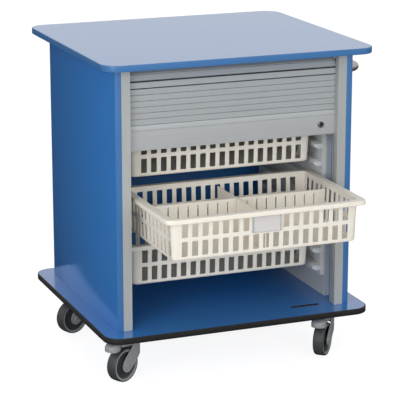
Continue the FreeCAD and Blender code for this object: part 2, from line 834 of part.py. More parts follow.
def cut_slots(tray, plane, axis, half_length, reach):
    """Two rows of slots along a pair of opposite walls, as many as fit between the corners."""
    run = (half_length - size.tray_corner) * 2
    count = whole((run - size.slot_width - size.slot_margin) / size.slot_pitch) + 1
    first = -size.slot_pitch * (count - 1) / 2
    left, right = first - size.slot_width / 2, first + size.slot_width / 2
    slots = pocket(
        tray,
        plane,
        -reach,
        reach * 2,
        box(left, right, lower_row, lower_row + size.slot_height),
        box(left, right, upper_row, upper_row + size.slot_height),
    )
    row_of(tray, [slots], axis, size.slot_pitch, count)


def seat_on_ledge(piece, ledge, pulled_out):
    height = size.first_ledge + size.ledge_pitch * ledge + size.running_gap
    place(piece, y=size.tray_setback + half_tray_y - pulled_out, z=height)


make_tray("top", size.top_ledge, 0)
make_tray("middle", size.middle_ledge, size.tray_travel)
make_tray("bottom", size.bottom_ledge, 0)


def divider_outline(half, foot, top):
    """A divider's face between two sloping walls."""
    low = inner_half(half, foot) - size.divider_clearance
    high = inner_half(half, top) - size.divider_clearance
    return polygon((-low, foot), (low, foot), (high, top), (-high, top))


divider_foot = tray_foot + size.tray_wall
divider_top = size.rim_height - size.divider_drop
half_lap = (divider_foot + divider_top) / 2

long_divider = new_body("long_divider")
long_front = size.divider_offset - size.divider_thickness / 2
pad(
    long_divider,
    "XZ",
    long_front,
    size.divider_thickness,
    divider_outline(wall_x, divider_foot, divider_top),
)
# An odd number of slits, so that one lies in the middle.
slit_count = whole((wall_x - size.slot_pitch) / size.slot_pitch) * 2 + 1
slit_first = -size.slot_pitch * (slit_count - 1) / 2
slit = pocket(
    long_divider,
    "XZ",
    long_front,
    size.divider_thickness,
    box(
        slit_first - size.divider_slit / 2,
        slit_first + size.divider_slit / 2,
        half_lap,
        divider_top - size.divider_slit_margin,
    ),
)
row_of(long_divider, [slit], "X", size.slot_pitch, slit_count)
# The cross divider drops into the long one's middle slit, which is open at the top.
lap_half = size.divider_thickness / 2 + size.divider_clearance
pocket(
    long_divider,
    "XZ",
    long_front,
    size.divider_thickness,
    box(-lap_half, lap_half, half_lap, divider_top),
)
seat_on_ledge(long_divider, size.middle_ledge, size.tray_travel)

cross_divider = new_body("cross_divider")
cross_left = -size.divider_thickness / 2
pad(
    cross_divider,
    "YZ",
    cross_left,
    size.divider_thickness,
    divider_outline(wall_y, divider_foot, divider_top),
)
pocket(
    cross_divider,
    "YZ",
    cross_left,
    size.divider_thickness,
    box(size.divider_offset - lap_half, size.divider_offset + lap_half, divider_foot, half_lap),
    circle(
        half_tray_y - size.grip_hole_inset,
        divider_top - size.grip_hole_drop,
        size.grip_hole_radius,
    ),
)
seat_on_ledge(cross_divider, size.middle_ledge, size.tray_travel)


# ---- label holder ----------------------------------------------------------

# An extruded pocket that hooks through the front wall's slots; the card slides in from above.
holder_top = -size.holder_drop
holder_foot = holder_top - size.holder_height
holder_back = -wall_y - size.holder_gap
card_back = holder_back - size.holder_wall
card_front = card_back - size.card_thickness - size.card_clearance * 2
holder_front = card_front - size.holder_wall
half_holder = size.holder_width / 2
lip_inner = half_holder - size.holder_wall - size.holder_lip
card_half = half_holder - size.holder_wall

holder = new_body("label_holder")
pad(
    holder,
    "XY",
    holder_foot,
    size.holder_height,
    polygon(
        (-half_holder, holder_back),
        (-half_holder, holder_front),
        (-lip_inner, holder_front),
        (-lip_inner, card_front),
        (-card_half, card_front),
        (-card_half, card_back),
        (card_half, card_back),
        (card_half, card_front),
        (lip_inner, card_front),
        (lip_inner, holder_front),
        (half_holder, holder_front),
        (half_holder, holder_back),
    ),
)
pad(holder, "XY", holder_foot, size.holder_wall, box(-half_holder, half_holder, holder_front, holder_back))
hook_top = upper_row + size.slot_height - size.hook_drop
hook_inside = -inner_half(wall_y, hook_top - size.hook_drop) + size.holder_gap
hook_back = hook_inside + size.holder_wall
for side in (-1, 1):
    pad(
        holder,
        "YZ",
        size.slot_pitch / 2 * side - size.hook_width / 2,
        size.hook_width,
        polygon(
            (holder_back, hook_top),
            (hook_back, hook_top),
            (hook_back, hook_top - size.hook_drop),
            (hook_inside, hook_top - size.hook_drop),
            (hook_inside, hook_top - size.hook_thickness),
            (holder_back, hook_top - size.hook_thickness),
        ),
    )
seat_on_ledge(holder, size.middle_ledge, size.tray_travel)

card = new_body("label_card")
card_side = card_half - size.card_clearance
pad(
    card,
    "XZ",
    card_front + size.card_clearance,
    size.card_thickness,
    box(-card_side, card_side, holder_foot + size.holder_wall, holder_top),
)
seat_on_ledge(card, size.middle_ledge, size.tray_travel)


# ---- push handle -----------------------------------------------------------

handle_middle = half_width + size.handle_projection - size.handle_radius


def handle_path(sketch):
    """Out of the panel, round a bend, along the side, round a bend and back in."""
    front, rear, bend = size.handle_front, size.handle_back, size.handle_bend
    knee = handle_middle - bend
    straight = (
        ((half_width, front), (knee, front)),
        ((handle_middle, front + bend), (handle_middle, rear - bend)),
        ((knee, rear), (half_width, rear)),
    )
    lines = []
    for start, end in straight:
        ends = [Vector(x.value, y.value, 0) for x, y in (start, end)]
        lines.append(sketch.addGeometry(Part.LineSegment(*ends), False))
        for number, (x, y) in enumerate((start, end), start=1):
            hold(sketch, "DistanceX", (-1, 1, lines[-1], number), x)
            hold(sketch, "DistanceY", (-1, 1, lines[-1], number), y)
    for line, after, y, start in ((0, 1, front + bend, 270), (1, 2, rear - bend, 0)):
        ring = Part.Circle(Vector(knee.value, y.value, 0), Vector(0, 0, 1), bend.value)
        arc = Part.ArcOfCircle(ring, math.radians(start), math.radians(start + 90))
        corner = sketch.addGeometry(arc, False)
        sketch.addConstraint(Sketcher.Constraint("Coincident", lines[line], 2, corner, 1))
        sketch.addConstraint(Sketcher.Constraint("Coincident", lines[after], 1, corner, 2))
        hold(sketch, "Radius", (corner,), bend)


handle = new_body("push_handle")
tube = handle.newObject("PartDesign::AdditivePipe", "tube")
tube.Profile = sketch_on(
    handle,
    "YZ",
    half_width,
    circle(size.handle_front, 0, size.handle_radius),
    circle(size.handle_front, 0, size.handle_radius - size.handle_wall),
)
tube.Spine = sketch_on(handle, "XY", 0, handle_path)
handle.Tip = tube
place(handle, z=size.handle_height)

flanges = new_body("handle_flanges")
flange_bore = size.handle_radius + size.flange_clearance
screw_spots = [
    (middle, side * size.screw_circle)
    for middle in (size.handle_front, size.handle_back)
    for side in (-1, 1)
]
for middle in (size.handle_front, size.handle_back):
    pad(
        flanges,
        "YZ",
        half_width,
        size.flange_thickness,
        circle(middle, 0, size.flange_radius),
        circle(middle, 0, flange_bore),
        *[circle(y, z, size.screw_head_radius) for y, z in screw_spots if y is middle],
    )
place(flanges, z=size.handle_height)

screw_holes = [circle(y, size.handle_height + z, size.screw_radius) for y, z in screw_spots]
screw_depth = size.screw_length - size.flange_thickness
pocket(panels["right"], "YZ", half_width - screw_depth, screw_depth, *screw_holes)

screws = new_body("handle_screws")
shanks = [circle(y, z, size.screw_radius) for y, z in screw_spots]
heads = [circle(y, z, size.screw_head_radius) for y, z in screw_spots]
pad(screws, "YZ", half_width - screw_depth, screw_depth, *shanks)
pad(screws, "YZ", half_width, size.flange_thickness, *heads)
place(screws, z=size.handle_height)


# ---- castors ---------------------------------------------------------------

# A castor is drawn about its swivel axis, z = 0 at the base board's underside, trailing to +x.
CASTORS = (
    ("front_left", -1, size.castor_front_inset, size.front_left_turn, True),
    ("front_right", 1, size.castor_front_inset, size.front_right_turn, True),
    ("back_left", -1, size.cabinet_depth - size.castor_back_inset, size.back_left_turn, False),
    ("back_right", 1, size.cabinet_depth - size.castor_back_inset, size.back_right_turn, False),
)
race_foot = -size.plate_thickness - size.race_depth
crown_top = race_foot - size.swivel_clearance
crown_foot = crown_top - size.crown_depth
axle_z = size.wheel_radius - size.castor_height
leg_inner = size.wheel_width / 2 + size.fork_clearance
leg_outer = leg_inner + size.fork_wall
pin_hole = size.kingpin_radius + size.pin_clearance
pedal_z = -size.pedal_pivot_drop
swivel_x = half_width - size.castor_side_inset
# A round end keeps this much straight side, since a side of no length can't be drawn.
ROUND_END = 0.5


def seat_castor(piece, side, y, turn=0):
    place(piece, swivel_x * side, y, -size.base_thickness)
    bind(piece, "Placement.Rotation.Angle", turn)


def bolt_circles(radius):
    half = size.bolt_spacing / 2
    return [circle(x * half, y * half, radius) for x in (-1, 1) for y in (-1, 1)]


def make_castor_plate(name):
    """Top plate with the swivel bearing's housing and the riveted swivel pin."""
    plate = new_body(f"castor_plate_{name}")
    half = size.plate_size / 2
    outline = rounded_box(-half, half, -half, half, size.plate_round)
    holes = bolt_circles(size.bolt_radius + size.swivel_clearance)
    pad(plate, "XY", -size.plate_thickness, size.plate_thickness, outline, *holes)
    under = -size.plate_thickness
    rivet_top = crown_top - size.crown_wall - size.swivel_clearance
    rivet_foot = rivet_top - size.crown_wall
    turned(
        plate,
        "XZ",
        0,
        0,
        polygon(
            (0, under),
            (size.race_radius - size.race_depth / 2, under),
            (size.race_radius, race_foot),
            (size.kingpin_radius, race_foot),
            (size.kingpin_radius, rivet_top),
            (size.kingpin_head_radius, rivet_top),
            (size.kingpin_radius, rivet_foot),
            (0, rivet_foot),
        ),
    )
    return plate


def make_fork(name, braked):
    """A crown, and legs joined by a round back, which sweep down to the axle."""
    fork = new_body(f"castor_fork_{name}")
    trail, boss, rear = size.castor_trail, size.fork_boss, -size.fork_back
    under_crown = crown_top - size.crown_wall
    foot, far = axle_z - boss, trail + boss * 3
    # The back edge runs into the round end at a point on its circle, 3-4-5 from the axle.
    side = polygon(
        (rear, under_crown),
        (size.fork_front, under_crown),
        (size.fork_front, -size.fork_front_foot),
        (size.fork_knee, -size.fork_knee_drop),
        (trail + boss, axle_z),
        (trail - boss * 0.6, axle_z - boss * 0.8),
        (rear, -size.fork_back_foot),
    )
    pad(fork, "XZ", -leg_outer, leg_outer * 2, side)
    pad(fork, "XZ", -leg_outer, leg_outer * 2, circle(trail, axle_z, boss))
    # Seen from above the back is half round; the far ends of both outlines lie beyond the legs.
    around = box(rear - boss, far + boss, -leg_outer * 2, leg_outer * 2)
    outside = rounded_box(rear, far, -leg_outer, leg_outer, leg_outer - ROUND_END)
    inside = rounded_box(rear + size.fork_wall, far, -leg_inner, leg_inner, leg_inner - ROUND_END)
    pocket(fork, "XY", foot, under_crown - foot, around, outside)
    pocket(fork, "XY", foot, under_crown - foot, inside)
    turned(
        fork,
        "XZ",
        0,
        0,
        polygon(
            (0, crown_top),
            (size.crown_radius, crown_top),
            (size.crown_radius, crown_foot),
            (size.crown_radius - size.crown_wall, crown_foot),
            (size.crown_radius - size.crown_wall, under_crown),
            (0, under_crown),
        ),
    )
    pocket(fork, "XY", crown_foot, size.crown_depth, circle(0, 0, pin_hole))
    holes = [circle(trail, axle_z, size.axle_radius + size.pin_clearance)]
    if braked:
        holes.append(circle(size.pedal_pivot_x, pedal_z, size.pedal_pin_radius + size.pin_clearance))
    pocket(fork, "XZ", -leg_outer, leg_outer * 2, *holes)
    return fork


def make_axle(name):
    """A plain axle right through the fork, riveted over at both ends."""
    axle = new_body(f"castor_axle_{name}")
    trail, end = size.castor_trail, leg_outer + size.axle_head_height
    shank, head = trail + size.axle_radius, trail + size.axle_head_radius
    turned(
        axle,
        "XY",
        axle_z,
        trail,
        polygon(
            (trail, -end),
            (shank, -end),
            (head, -leg_outer - size.axle_head_height / 2),
            (head, -leg_outer),
            (shank, -leg_outer),
            (shank, leg_outer),
            (head, leg_outer),
            (head, leg_outer + size.axle_head_height / 2),
            (shank, end),
            (trail, end),
        ),
    )
    return axle


def make_wheel_centre(name):
    """Hub, recessed web and rim, turned about the axle."""
    centre = new_body(f"wheel_centre_{name}")
    trail = size.castor_trail
    seat = size.wheel_radius - size.tread_thickness
    half_hub = leg_inner - size.hub_clearance
    bore = size.axle_radius + size.pin_clearance
    rim_inner = seat - size.rim_band
    turned(
        centre,
        "XY",
        axle_z,
        trail,
        polygon(
            (trail + bore, -half_hub),
            (trail + size.hub_radius, -half_hub),
            (trail + size.hub_radius, -size.web_half_width),
            (trail + rim_inner, -size.web_half_width),
            (trail + rim_inner, -size.rim_half_width),
            (trail + seat, -size.rim_half_width),
            (trail + seat, size.rim_half_width),
            (trail + rim_inner, size.rim_half_width),
            (trail + rim_inner, size.web_half_width),
            (trail + size.hub_radius, size.web_half_width),
            (trail + size.hub_radius, half_hub),
            (trail + bore, half_hub),
        ),
    )
    return centre


def make_tyre(name):
    """A slightly crowned rubber tread, bonded round the wheel centre."""
    tyre = new_body(f"tyre_{name}")
    trail, half = size.castor_trail, size.wheel_width / 2
    seat = trail + size.wheel_radius - size.tread_thickness
    shoulder, crest = size.tread_shoulder, trail + size.wheel_radius
    turned(
        tyre,
        "XY",
        axle_z,
        trail,
        polygon(
            (seat, -half + shoulder / 2),
            (crest - shoulder, -half),
            (crest - shoulder / 4, -half + shoulder),
            (crest, 0),
            (crest - shoulder / 4, half - shoulder),
            (crest - shoulder, half),
            (seat, half - shoulder / 2),
        ),
    )
    return tyre


def make_pedal(name):
    """A brake pedal on a pin through the fork's legs: an arm that ends in a round-cornered, hollow cap."""
    pedal = new_body(f"brake_pedal_{name}")
    hub_half = leg_inner - size.pedal_clearance
    pivot, start, tip = size.pedal_pivot_x, size.pedal_cap_start, size.pedal_reach
    deck, wall, half = -size.pedal_drop, size.pedal_thickness, size.pedal_width / 2
    corner = size.pedal_corner
    cap = rounded_box(start - corner, tip, -half, half, corner)
    pad(pedal, "XY", deck - size.pedal_lip, size.pedal_lip, cap)
    hollow = rounded_box(start - corner * 2, tip - wall, wall - half, half - wall, corner - wall)
    pocket(pedal, "XY", deck - size.pedal_lip, size.pedal_lip - wall, hollow)
    behind = box(start - corner * 2, start, -half, half)
    pocket(pedal, "XY", deck - size.pedal_lip, size.pedal_lip, behind)
    arm_top = crown_foot - size.pedal_arm_gap
    arm = polygon(
        (pivot, pedal_z - wall),
        (start + wall, pedal_z + wall),
        (start + wall, deck),
        (size.crown_radius + wall, arm_top),
        (pivot, arm_top),
    )
    pad(pedal, "XZ", -hub_half, hub_half * 2, circle(pivot, pedal_z, size.pedal_hub_radius))
    pad(pedal, "XZ", -hub_half, hub_half * 2, arm)
    ends = leg_outer + size.pedal_clearance
    pad(pedal, "XZ", -ends, ends * 2, circle(pivot, pedal_z, size.pedal_pin_radius))
    return pedal


def make_castor_bolts(name):
    """Four round-headed bolts through the plate, up against the base board."""
    bolts = new_body(f"castor_bolts_{name}")
    under = -size.plate_thickness
    shanks, heads = bolt_circles(size.bolt_radius), bolt_circles(size.bolt_head_radius)
    pad(bolts, "XY", under, size.plate_thickness, *shanks)
    pad(bolts, "XY", under - size.bolt_head_height, size.bolt_head_height, *heads)
    return bolts


for name, side, y, turn, braked in CASTORS:
    for fixed in (make_castor_plate(name), make_castor_bolts(name)):
        seat_castor(fixed, side, y)
    swivelling = [make_fork(name, braked), make_axle(name), make_wheel_centre(name), make_tyre(name)]
    if braked:
        swivelling.append(make_pedal(name))
    for piece in swivelling:
        seat_castor(piece, side, y, turn)


# ---- check and write -------------------------------------------------------

doc.recompute()
for thing in doc.Objects:
    if "Invalid" in thing.State or "Error" in thing.State:
        raise RuntimeError(f"{thing.Label} failed: {thing.State}")
    if thing.TypeId == "PartDesign::Pocket" and thing.Shape.Volume >= thing.BaseFeature.Shape.Volume:
        raise RuntimeError(f"{thing.Label} cut nothing")
for piece in pieces:
    if piece.Shape.isNull() or not piece.Shape.isValid():
        raise RuntimeError(f"{piece.Label} has no valid shape")
os.makedirs("parts", exist_ok=True)
for piece in pieces:
    piece.Shape.exportStep(f"parts/{piece.Label}.step")
print(f"{len(pieces)} pieces")
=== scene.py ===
import json
import math

import bmesh
import bpy
from mathutils import Matrix, Vector


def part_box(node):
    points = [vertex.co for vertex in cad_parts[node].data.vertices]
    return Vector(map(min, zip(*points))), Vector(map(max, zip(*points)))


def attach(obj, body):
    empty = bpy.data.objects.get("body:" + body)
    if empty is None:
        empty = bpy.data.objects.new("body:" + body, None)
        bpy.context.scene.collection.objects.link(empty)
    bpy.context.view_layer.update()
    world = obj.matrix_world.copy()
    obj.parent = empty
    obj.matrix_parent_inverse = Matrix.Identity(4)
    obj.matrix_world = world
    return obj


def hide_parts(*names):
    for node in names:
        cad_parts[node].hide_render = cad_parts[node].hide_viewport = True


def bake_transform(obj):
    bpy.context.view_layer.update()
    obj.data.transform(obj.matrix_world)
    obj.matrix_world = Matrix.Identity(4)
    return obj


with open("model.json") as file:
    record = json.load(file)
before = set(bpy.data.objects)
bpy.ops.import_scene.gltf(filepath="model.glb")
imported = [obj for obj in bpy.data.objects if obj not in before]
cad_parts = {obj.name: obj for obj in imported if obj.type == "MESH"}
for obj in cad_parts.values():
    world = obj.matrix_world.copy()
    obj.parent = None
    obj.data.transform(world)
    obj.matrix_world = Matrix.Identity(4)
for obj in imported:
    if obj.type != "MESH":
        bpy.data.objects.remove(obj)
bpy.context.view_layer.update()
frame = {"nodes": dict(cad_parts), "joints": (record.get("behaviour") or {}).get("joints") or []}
scene = bpy.context.scene
scene.view_settings.view_transform = "Standard"


# ---- The room ----
# A pale matt studio floor under an even white sky, as for a catalogue view.
# A wide soft lamp stands far off in front at sitting height, and a small one on the left.

mm = 0.001


def linear(code):
    """An sRGB hex colour as the linear colour that a shader takes."""
    parts = [int(code[start : start + 2], 16) / 255 for start in (1, 3, 5)]
    light = [part / 12.92 if part <= 0.04045 else ((part + 0.055) / 1.055) ** 2.4 for part in parts]
    return (*light, 1)


def add_node(tree, kind, sockets=(), **settings):
    """Add a node with its settings, and give or link its input sockets."""
    node = tree.nodes.new("ShaderNode" + kind)
    for name, value in settings.items():
        setattr(node, name, value)
    for name, value in dict(sockets).items():
        if isinstance(value, bpy.types.NodeSocket):
            tree.links.new(value, node.inputs[name])
        else:
            node.inputs[name].default_value = value
    return node


def new_material(name):
    """An empty material and its node tree."""
    material = bpy.data.materials.new(name)
    material.use_nodes = True
    material.node_tree.nodes.clear()
    return material, material.node_tree


# The sky is plain white to the camera, in gloss and through clear plastic, and lights the object
# less than it shows. A Math node adds unless it is told otherwise.
sky_light = 0.6
sky = bpy.data.worlds.new("studio_sky")
scene.world = sky
sky.use_nodes = True
tree = sky.node_tree
tree.nodes.clear()
rays = add_node(tree, "LightPath").outputs
mirrored = add_node(tree, "Math", {0: rays["Is Glossy Ray"], 1: rays["Is Transmission Ray"]})
seen = add_node(tree, "Math", {0: mirrored.outputs[0], 1: rays["Is Camera Ray"]}, use_clamp=True)
lit = add_node(tree, "Background", {"Color": linear("#FFFFFF"), "Strength": sky_light})
backdrop = add_node(tree, "Background", {"Color": linear("#FFFFFF"), "Strength": 1})
mixed = add_node(tree, "MixShader", {0: seen.outputs[0], 1: lit.outputs[0], 2: backdrop.outputs[0]})
add_node(tree, "OutputWorld", {"Surface": mixed.outputs[0]})

# Seen directly the floor is nearly as white as the sky; in gloss it is a dim grey, so upright
# panels keep their own colour.
floor_material, tree = new_material("painted_floor_white")
rays = add_node(tree, "LightPath").outputs
seen = add_node(tree, "Math", {0: rays["Is Transmission Ray"], 1: rays["Is Camera Ray"]}, use_clamp=True)
paint = add_node(tree, "BsdfDiffuse", {"Color": linear("#D8D8D8")})
half_tone = add_node(tree, "BsdfDiffuse", {"Color": linear("#8C8C8C")})
glow = add_node(tree, "Emission", {"Color": linear("#FFFFFF"), "Strength": 0.88})
bright = add_node(tree, "AddShader", {0: half_tone.outputs[0], 1: glow.outputs[0]})
dim = add_node(tree, "BsdfDiffuse", {"Color": linear("#3A3A3A")})
unseen = add_node(tree, "MixShader", {0: rays["Is Glossy Ray"], 1: paint.outputs[0], 2: dim.outputs[0]})
mixed = add_node(tree, "MixShader", {0: seen.outputs[0], 1: unseen.outputs[0], 2: bright.outputs[0]})
add_node(tree, "OutputMaterial", {"Surface": mixed.outputs[0]})

floor_reach = 40
floor_data = bpy.data.meshes.new("studio_floor")
corners = [(x * floor_reach, y * floor_reach, 0) for x, y in ((-1, -1), (1, -1), (1, 1), (-1, 1))]
floor_data.from_pydata(corners, [], [(0, 1, 2, 3)])
floor_data.materials.append(floor_material)
floor = bpy.data.objects.new("studio_floor", floor_data)
scene.collection.objects.link(floor)


def add_lamp(name, place, target, width, watts):
    """A square soft lamp that faces a point."""
    light = bpy.data.lights.new(name, "AREA")
    light.size = width
    light.energy = watts
    lamp = bpy.data.objects.new(name, light)
    lamp.location = place
    lamp.rotation_euler = (Vector(target) - Vector(place)).to_track_quat("-Z", "Y").to_euler()
    scene.collection.objects.link(lamp)
    return lamp


middle = (0, -0.1, 0.5)
front_lamp = add_lamp("front_lamp", (0.5, -6.5, 1.4), middle, width=3.5, watts=160)
front_lamp.visible_glossy = False
add_lamp("side_lamp", (-2.8, -2.6, 1.5), middle, width=2.0, watts=58)

view = bpy.data.cameras.new("camera")
view.lens = 164.67
view.sensor_width = 36
camera = bpy.data.objects.new("camera", view)
camera.location = (-1.9651, -4.8473, 1.8405)
view_azimuth, view_elevation = 21.724, 14.893
camera.rotation_euler = (math.radians(90 - view_elevation), 0, math.radians(-view_azimuth))
scene.collection.objects.link(camera)
scene.camera = camera


# ---- Base board and bumper ----
# The base is a blue laminate-faced board on which the panels stand; a black rubber
# bumper is pressed into a groove round its edge.


def round_rectangle(x0, x1, y0, y1, radius, z, steps=10, inset=0):
    """Points round a level rectangle with round corners, anticlockwise, drawn in by an inset."""
    x0, x1, y0, y1, radius = x0 + inset, x1 - inset, y0 + inset, y1 - inset, radius - inset
    corners = (
        (x1 - radius, y0 + radius, -90),
        (x1 - radius, y1 - radius, 0),
        (x0 + radius, y1 - radius, 90),
        (x0 + radius, y0 + radius, 180),
    )
    points = []
    for x, y, start in corners:
        for step in range(steps + 1):
            turn = math.radians(start + 90 * step / steps)
            points.append(Vector((x + radius * math.cos(turn), y + radius * math.sin(turn), z)))
    return points


def skin(mesh, rings, ends="capped"):
    """Faces between rings of points: capped at both ends, open, or joined last to first."""
    loops = [[mesh.verts.new(point) for point in ring] for ring in rings]
    pairs = list(zip(loops, loops[1:]))
    if ends == "joined":
        pairs.append((loops[-1], loops[0]))
    for one, other in pairs:
        for here in range(len(one)):
            after = (here + 1) % len(one)
            mesh.faces.new((one[here], one[after], other[after], other[here]))
    if ends == "capped":
        mesh.faces.new(list(reversed(loops[0])))
        mesh.faces.new(loops[-1])


def add_piece(name, mesh, material, body, slot, *nodes, smooth=35):
    """Make the drawn mesh a piece that rides a body and stands for the CAD nodes named."""
    bmesh.ops.remove_doubles(mesh, verts=mesh.verts, dist=0.001 * mm)
    bmesh.ops.recalc_face_normals(mesh, faces=mesh.faces)
    data = bpy.data.meshes.new(name)
    mesh.to_mesh(data)
    mesh.free()
    data.shade_smooth()
    data.set_sharp_from_angle(angle=math.radians(smooth))
    data.materials.append(material)
    piece = bpy.data.objects.new(name, data)
    scene.collection.objects.link(piece)
    if body:
        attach(piece, body)
    if nodes:
        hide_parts(*nodes)
    return piece


def dress(material, *nodes):
    """Give CAD nodes their finish."""
    for node in nodes:
        for place in frame["nodes"][node].material_slots:
            place.material = material


plate_corner = 50 * mm


def plate_band(node, half):
    """A closed band round a board's edge; (inset, rise) pairs give its lower half, mirrored above."""
    low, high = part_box(node)
    section = [(inset, low.z + rise) for inset, rise in half]
    section += [(inset, high.z - rise) for inset, rise in reversed(half)]
    plan = (low.x, high.x, low.y, high.y, plate_corner)
    mesh = bmesh.new()
    skin(mesh, [round_rectangle(*plan, z, inset=inset) for inset, z in section], "joined")
    return mesh


# A Mix node's sockets for colours: the share and two colours go in, and their mixture comes out.
mix_share, mix_from, mix_to, mix_colour = 0, 6, 7, 2

# Blue high-pressure laminate: gloss melamine over a printed sheet, with the faint
# orange-peel waviness of its pressing plate, so pale surroundings lie on it at a low angle.
laminate, tree = new_material("high_pressure_laminate_blue")
spot = add_node(tree, "TexCoord").outputs["Object"]
peel = add_node(tree, "TexNoise", {"Vector": spot, "Scale": 1 / (9 * mm), "Detail": 2, "Roughness": 0.4})
clouds = add_node(tree, "TexNoise", {"Vector": spot, "Scale": 1 / (120 * mm), "Detail": 3})
grain = add_node(tree, "TexNoise", {"Vector": spot, "Scale": 1 / (1.2 * mm), "Detail": 1})
shades = {mix_share: clouds.outputs["Fac"], mix_from: linear("#2B6DB2"), mix_to: linear("#3073BA")}
tone = add_node(tree, "Mix", shades, data_type="RGBA")
shades = {mix_share: grain.outputs["Fac"], mix_from: tone.outputs[mix_colour], mix_to: linear("#3578BE")}
speckle = add_node(tree, "Mix", shades, data_type="RGBA")
wave = add_node(tree, "Bump", {"Height": peel.outputs["Fac"], "Distance": 0.03 * mm, "Strength": 0.5})
gloss = add_node(
    tree,
    "BsdfPrincipled",
    {
        "Base Color": speckle.outputs[mix_colour],
        "Roughness": 0.22,
        "IOR": 1.5,
        "Coat Weight": 0.35,
        "Coat Roughness": 0.1,
        "Coat IOR": 1.5,
        "Normal": wave.outputs[0],
        "Coat Normal": wave.outputs[0],
    },
)
add_node(tree, "OutputMaterial", {"Surface": gloss.outputs[0]})

lock_axis = next(Vector(joint["pos_m"]) for joint in frame["joints"] if joint["name"] == "lock_turn")
bar_low, bar_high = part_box("shutter_bar")
slot_length, slot_past_lock, slot_corner = 90 * mm, 4.6 * mm, 1.2 * mm
slot_ahead, slot_behind = 5 * mm, 3.6 * mm
slot_right = lock_axis.x + slot_past_lock
slot_plan = (slot_right - slot_length, slot_right, bar_low.y - slot_ahead, bar_high.y + slot_behind)


def base_slot(inset, z):
    """Points round the slot that is milled through the base board for the lock's cam."""
    return round_rectangle(*slot_plan, slot_corner, z, inset=inset)


bumper_back = 3 * mm
board_low, board_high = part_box("base_board")
outer = (board_low.x, board_high.x, board_low.y, board_high.y, plate_corner - bumper_back)
mesh = bmesh.new()
rings = [round_rectangle(*outer, board_low.z), round_rectangle(*outer, board_high.z)]
skin(mesh, [*rings, base_slot(0, board_high.z), base_slot(0, board_low.z)], "joined")
add_piece("base_board_panel", mesh, laminate, "cabinet", "laminate_blue", "base_board")

# Black PVC rubber: dull, faintly scuffed where it meets walls.
bumper_rubber, tree = new_material("extruded_rubber_black")
spot = add_node(tree, "TexCoord").outputs["Object"]
scuffing = {"Vector": spot, "Scale": 1 / (14 * mm), "Detail": 5, "Distortion": 1.2}
scuffs = add_node(tree, "TexNoise", scuffing)
worn = add_node(tree, "MapRange", {"Value": scuffs.outputs["Fac"], "From Min": 0.55, "From Max": 0.75})
shades = {mix_share: worn.outputs[0], mix_from: linear("#111112"), mix_to: linear("#1C1C1E")}
tone = add_node(tree, "Mix", shades, data_type="RGBA")
dull = add_node(tree, "MapRange", {"Value": scuffs.outputs["Fac"], "To Min": 0.6, "To Max": 0.75})
nap = add_node(tree, "TexNoise", {"Vector": spot, "Scale": 1 / (0.8 * mm), "Detail": 2})
wave = add_node(tree, "Bump", {"Height": nap.outputs["Fac"], "Distance": 0.05 * mm, "Strength": 0.4})
rubber = add_node(
    tree,
    "BsdfPrincipled",
    {
        "Base Color": tone.outputs[mix_colour],
        "Roughness": dull.outputs[0],
        "IOR": 1.52,
        "Normal": wave.outputs[0],
    },
)
add_node(tree, "OutputMaterial", {"Surface": rubber.outputs[0]})

bumper_round, round_middle = 2 * mm, 0.6 * mm
half = ((bumper_back, 0), (bumper_round, 0), (round_middle, round_middle), (0, bumper_round))
bumper = plate_band("base_bumper", half)
add_piece("base_bumper_moulding", bumper, bumper_rubber, "cabinet", "bumper_black", "base_bumper")

# Raw chipboard shows in the walls of the slot that is milled for the lock's cam: its flakes are drawn, but
# its colour is painted far darker than chipboard, as painted shade in the narrow slot.
shaded_chipboard, tree = new_material("chipboard_painted_shade")
spot = add_node(tree, "TexCoord").outputs["Object"]
chips = add_node(tree, "TexVoronoi", {"Vector": spot, "Scale": 1 / (2 * mm)})
shades = {mix_share: chips.outputs["Distance"], mix_from: linear("#33281F"), mix_to: linear("#201913")}
tone = add_node(tree, "Mix", shades, data_type="RGBA")
wave = add_node(tree, "Bump", {"Height": chips.outputs["Distance"], "Distance": 0.3 * mm, "Strength": 0.6})
raw = add_node(
    tree,
    "BsdfPrincipled",
    {"Base Color": tone.outputs[mix_colour], "Roughness": 0.85, "IOR": 1.5, "Normal": wave.outputs[0]},
)
add_node(tree, "OutputMaterial", {"Surface": raw.outputs[0]})

# A thin lining in this painted-shade chipboard covers the slot's walls.
wall, sunk = 0.5 * mm, 0.4 * mm
mesh = bmesh.new()
lining = ((0, board_low.z), (0, board_high.z - sunk), (wall, board_high.z - sunk), (wall, board_low.z))
skin(mesh, [base_slot(inset, z) for inset, z in lining], "joined")
add_piece("base_slot_wall_painted_shade", mesh, shaded_chipboard, "cabinet", "laminate_blue")


# ---- Side panels and back ----
# Blue laminate boards stand on the base; their front edges carry a thin ABS edging
# glued on hot and scraped to a small round.


def bevelled_box(mesh, low, high, bevel, segments=3):
    """Add a box whose edges are rounded."""
    scale = Matrix.Diagonal((*(Vector(high) - Vector(low)), 1))
    shift = Matrix.Translation((Vector(high) + Vector(low)) / 2)
    made = bmesh.ops.create_cube(mesh, size=1, matrix=shift @ scale)
    edges = list({edge for vert in made["verts"] for edge in vert.link_edges})
    bmesh.ops.bevel(
        mesh, geom=edges, offset=bevel, segments=segments, profile=0.5, affect="EDGES", clamp_overlap=True
    )


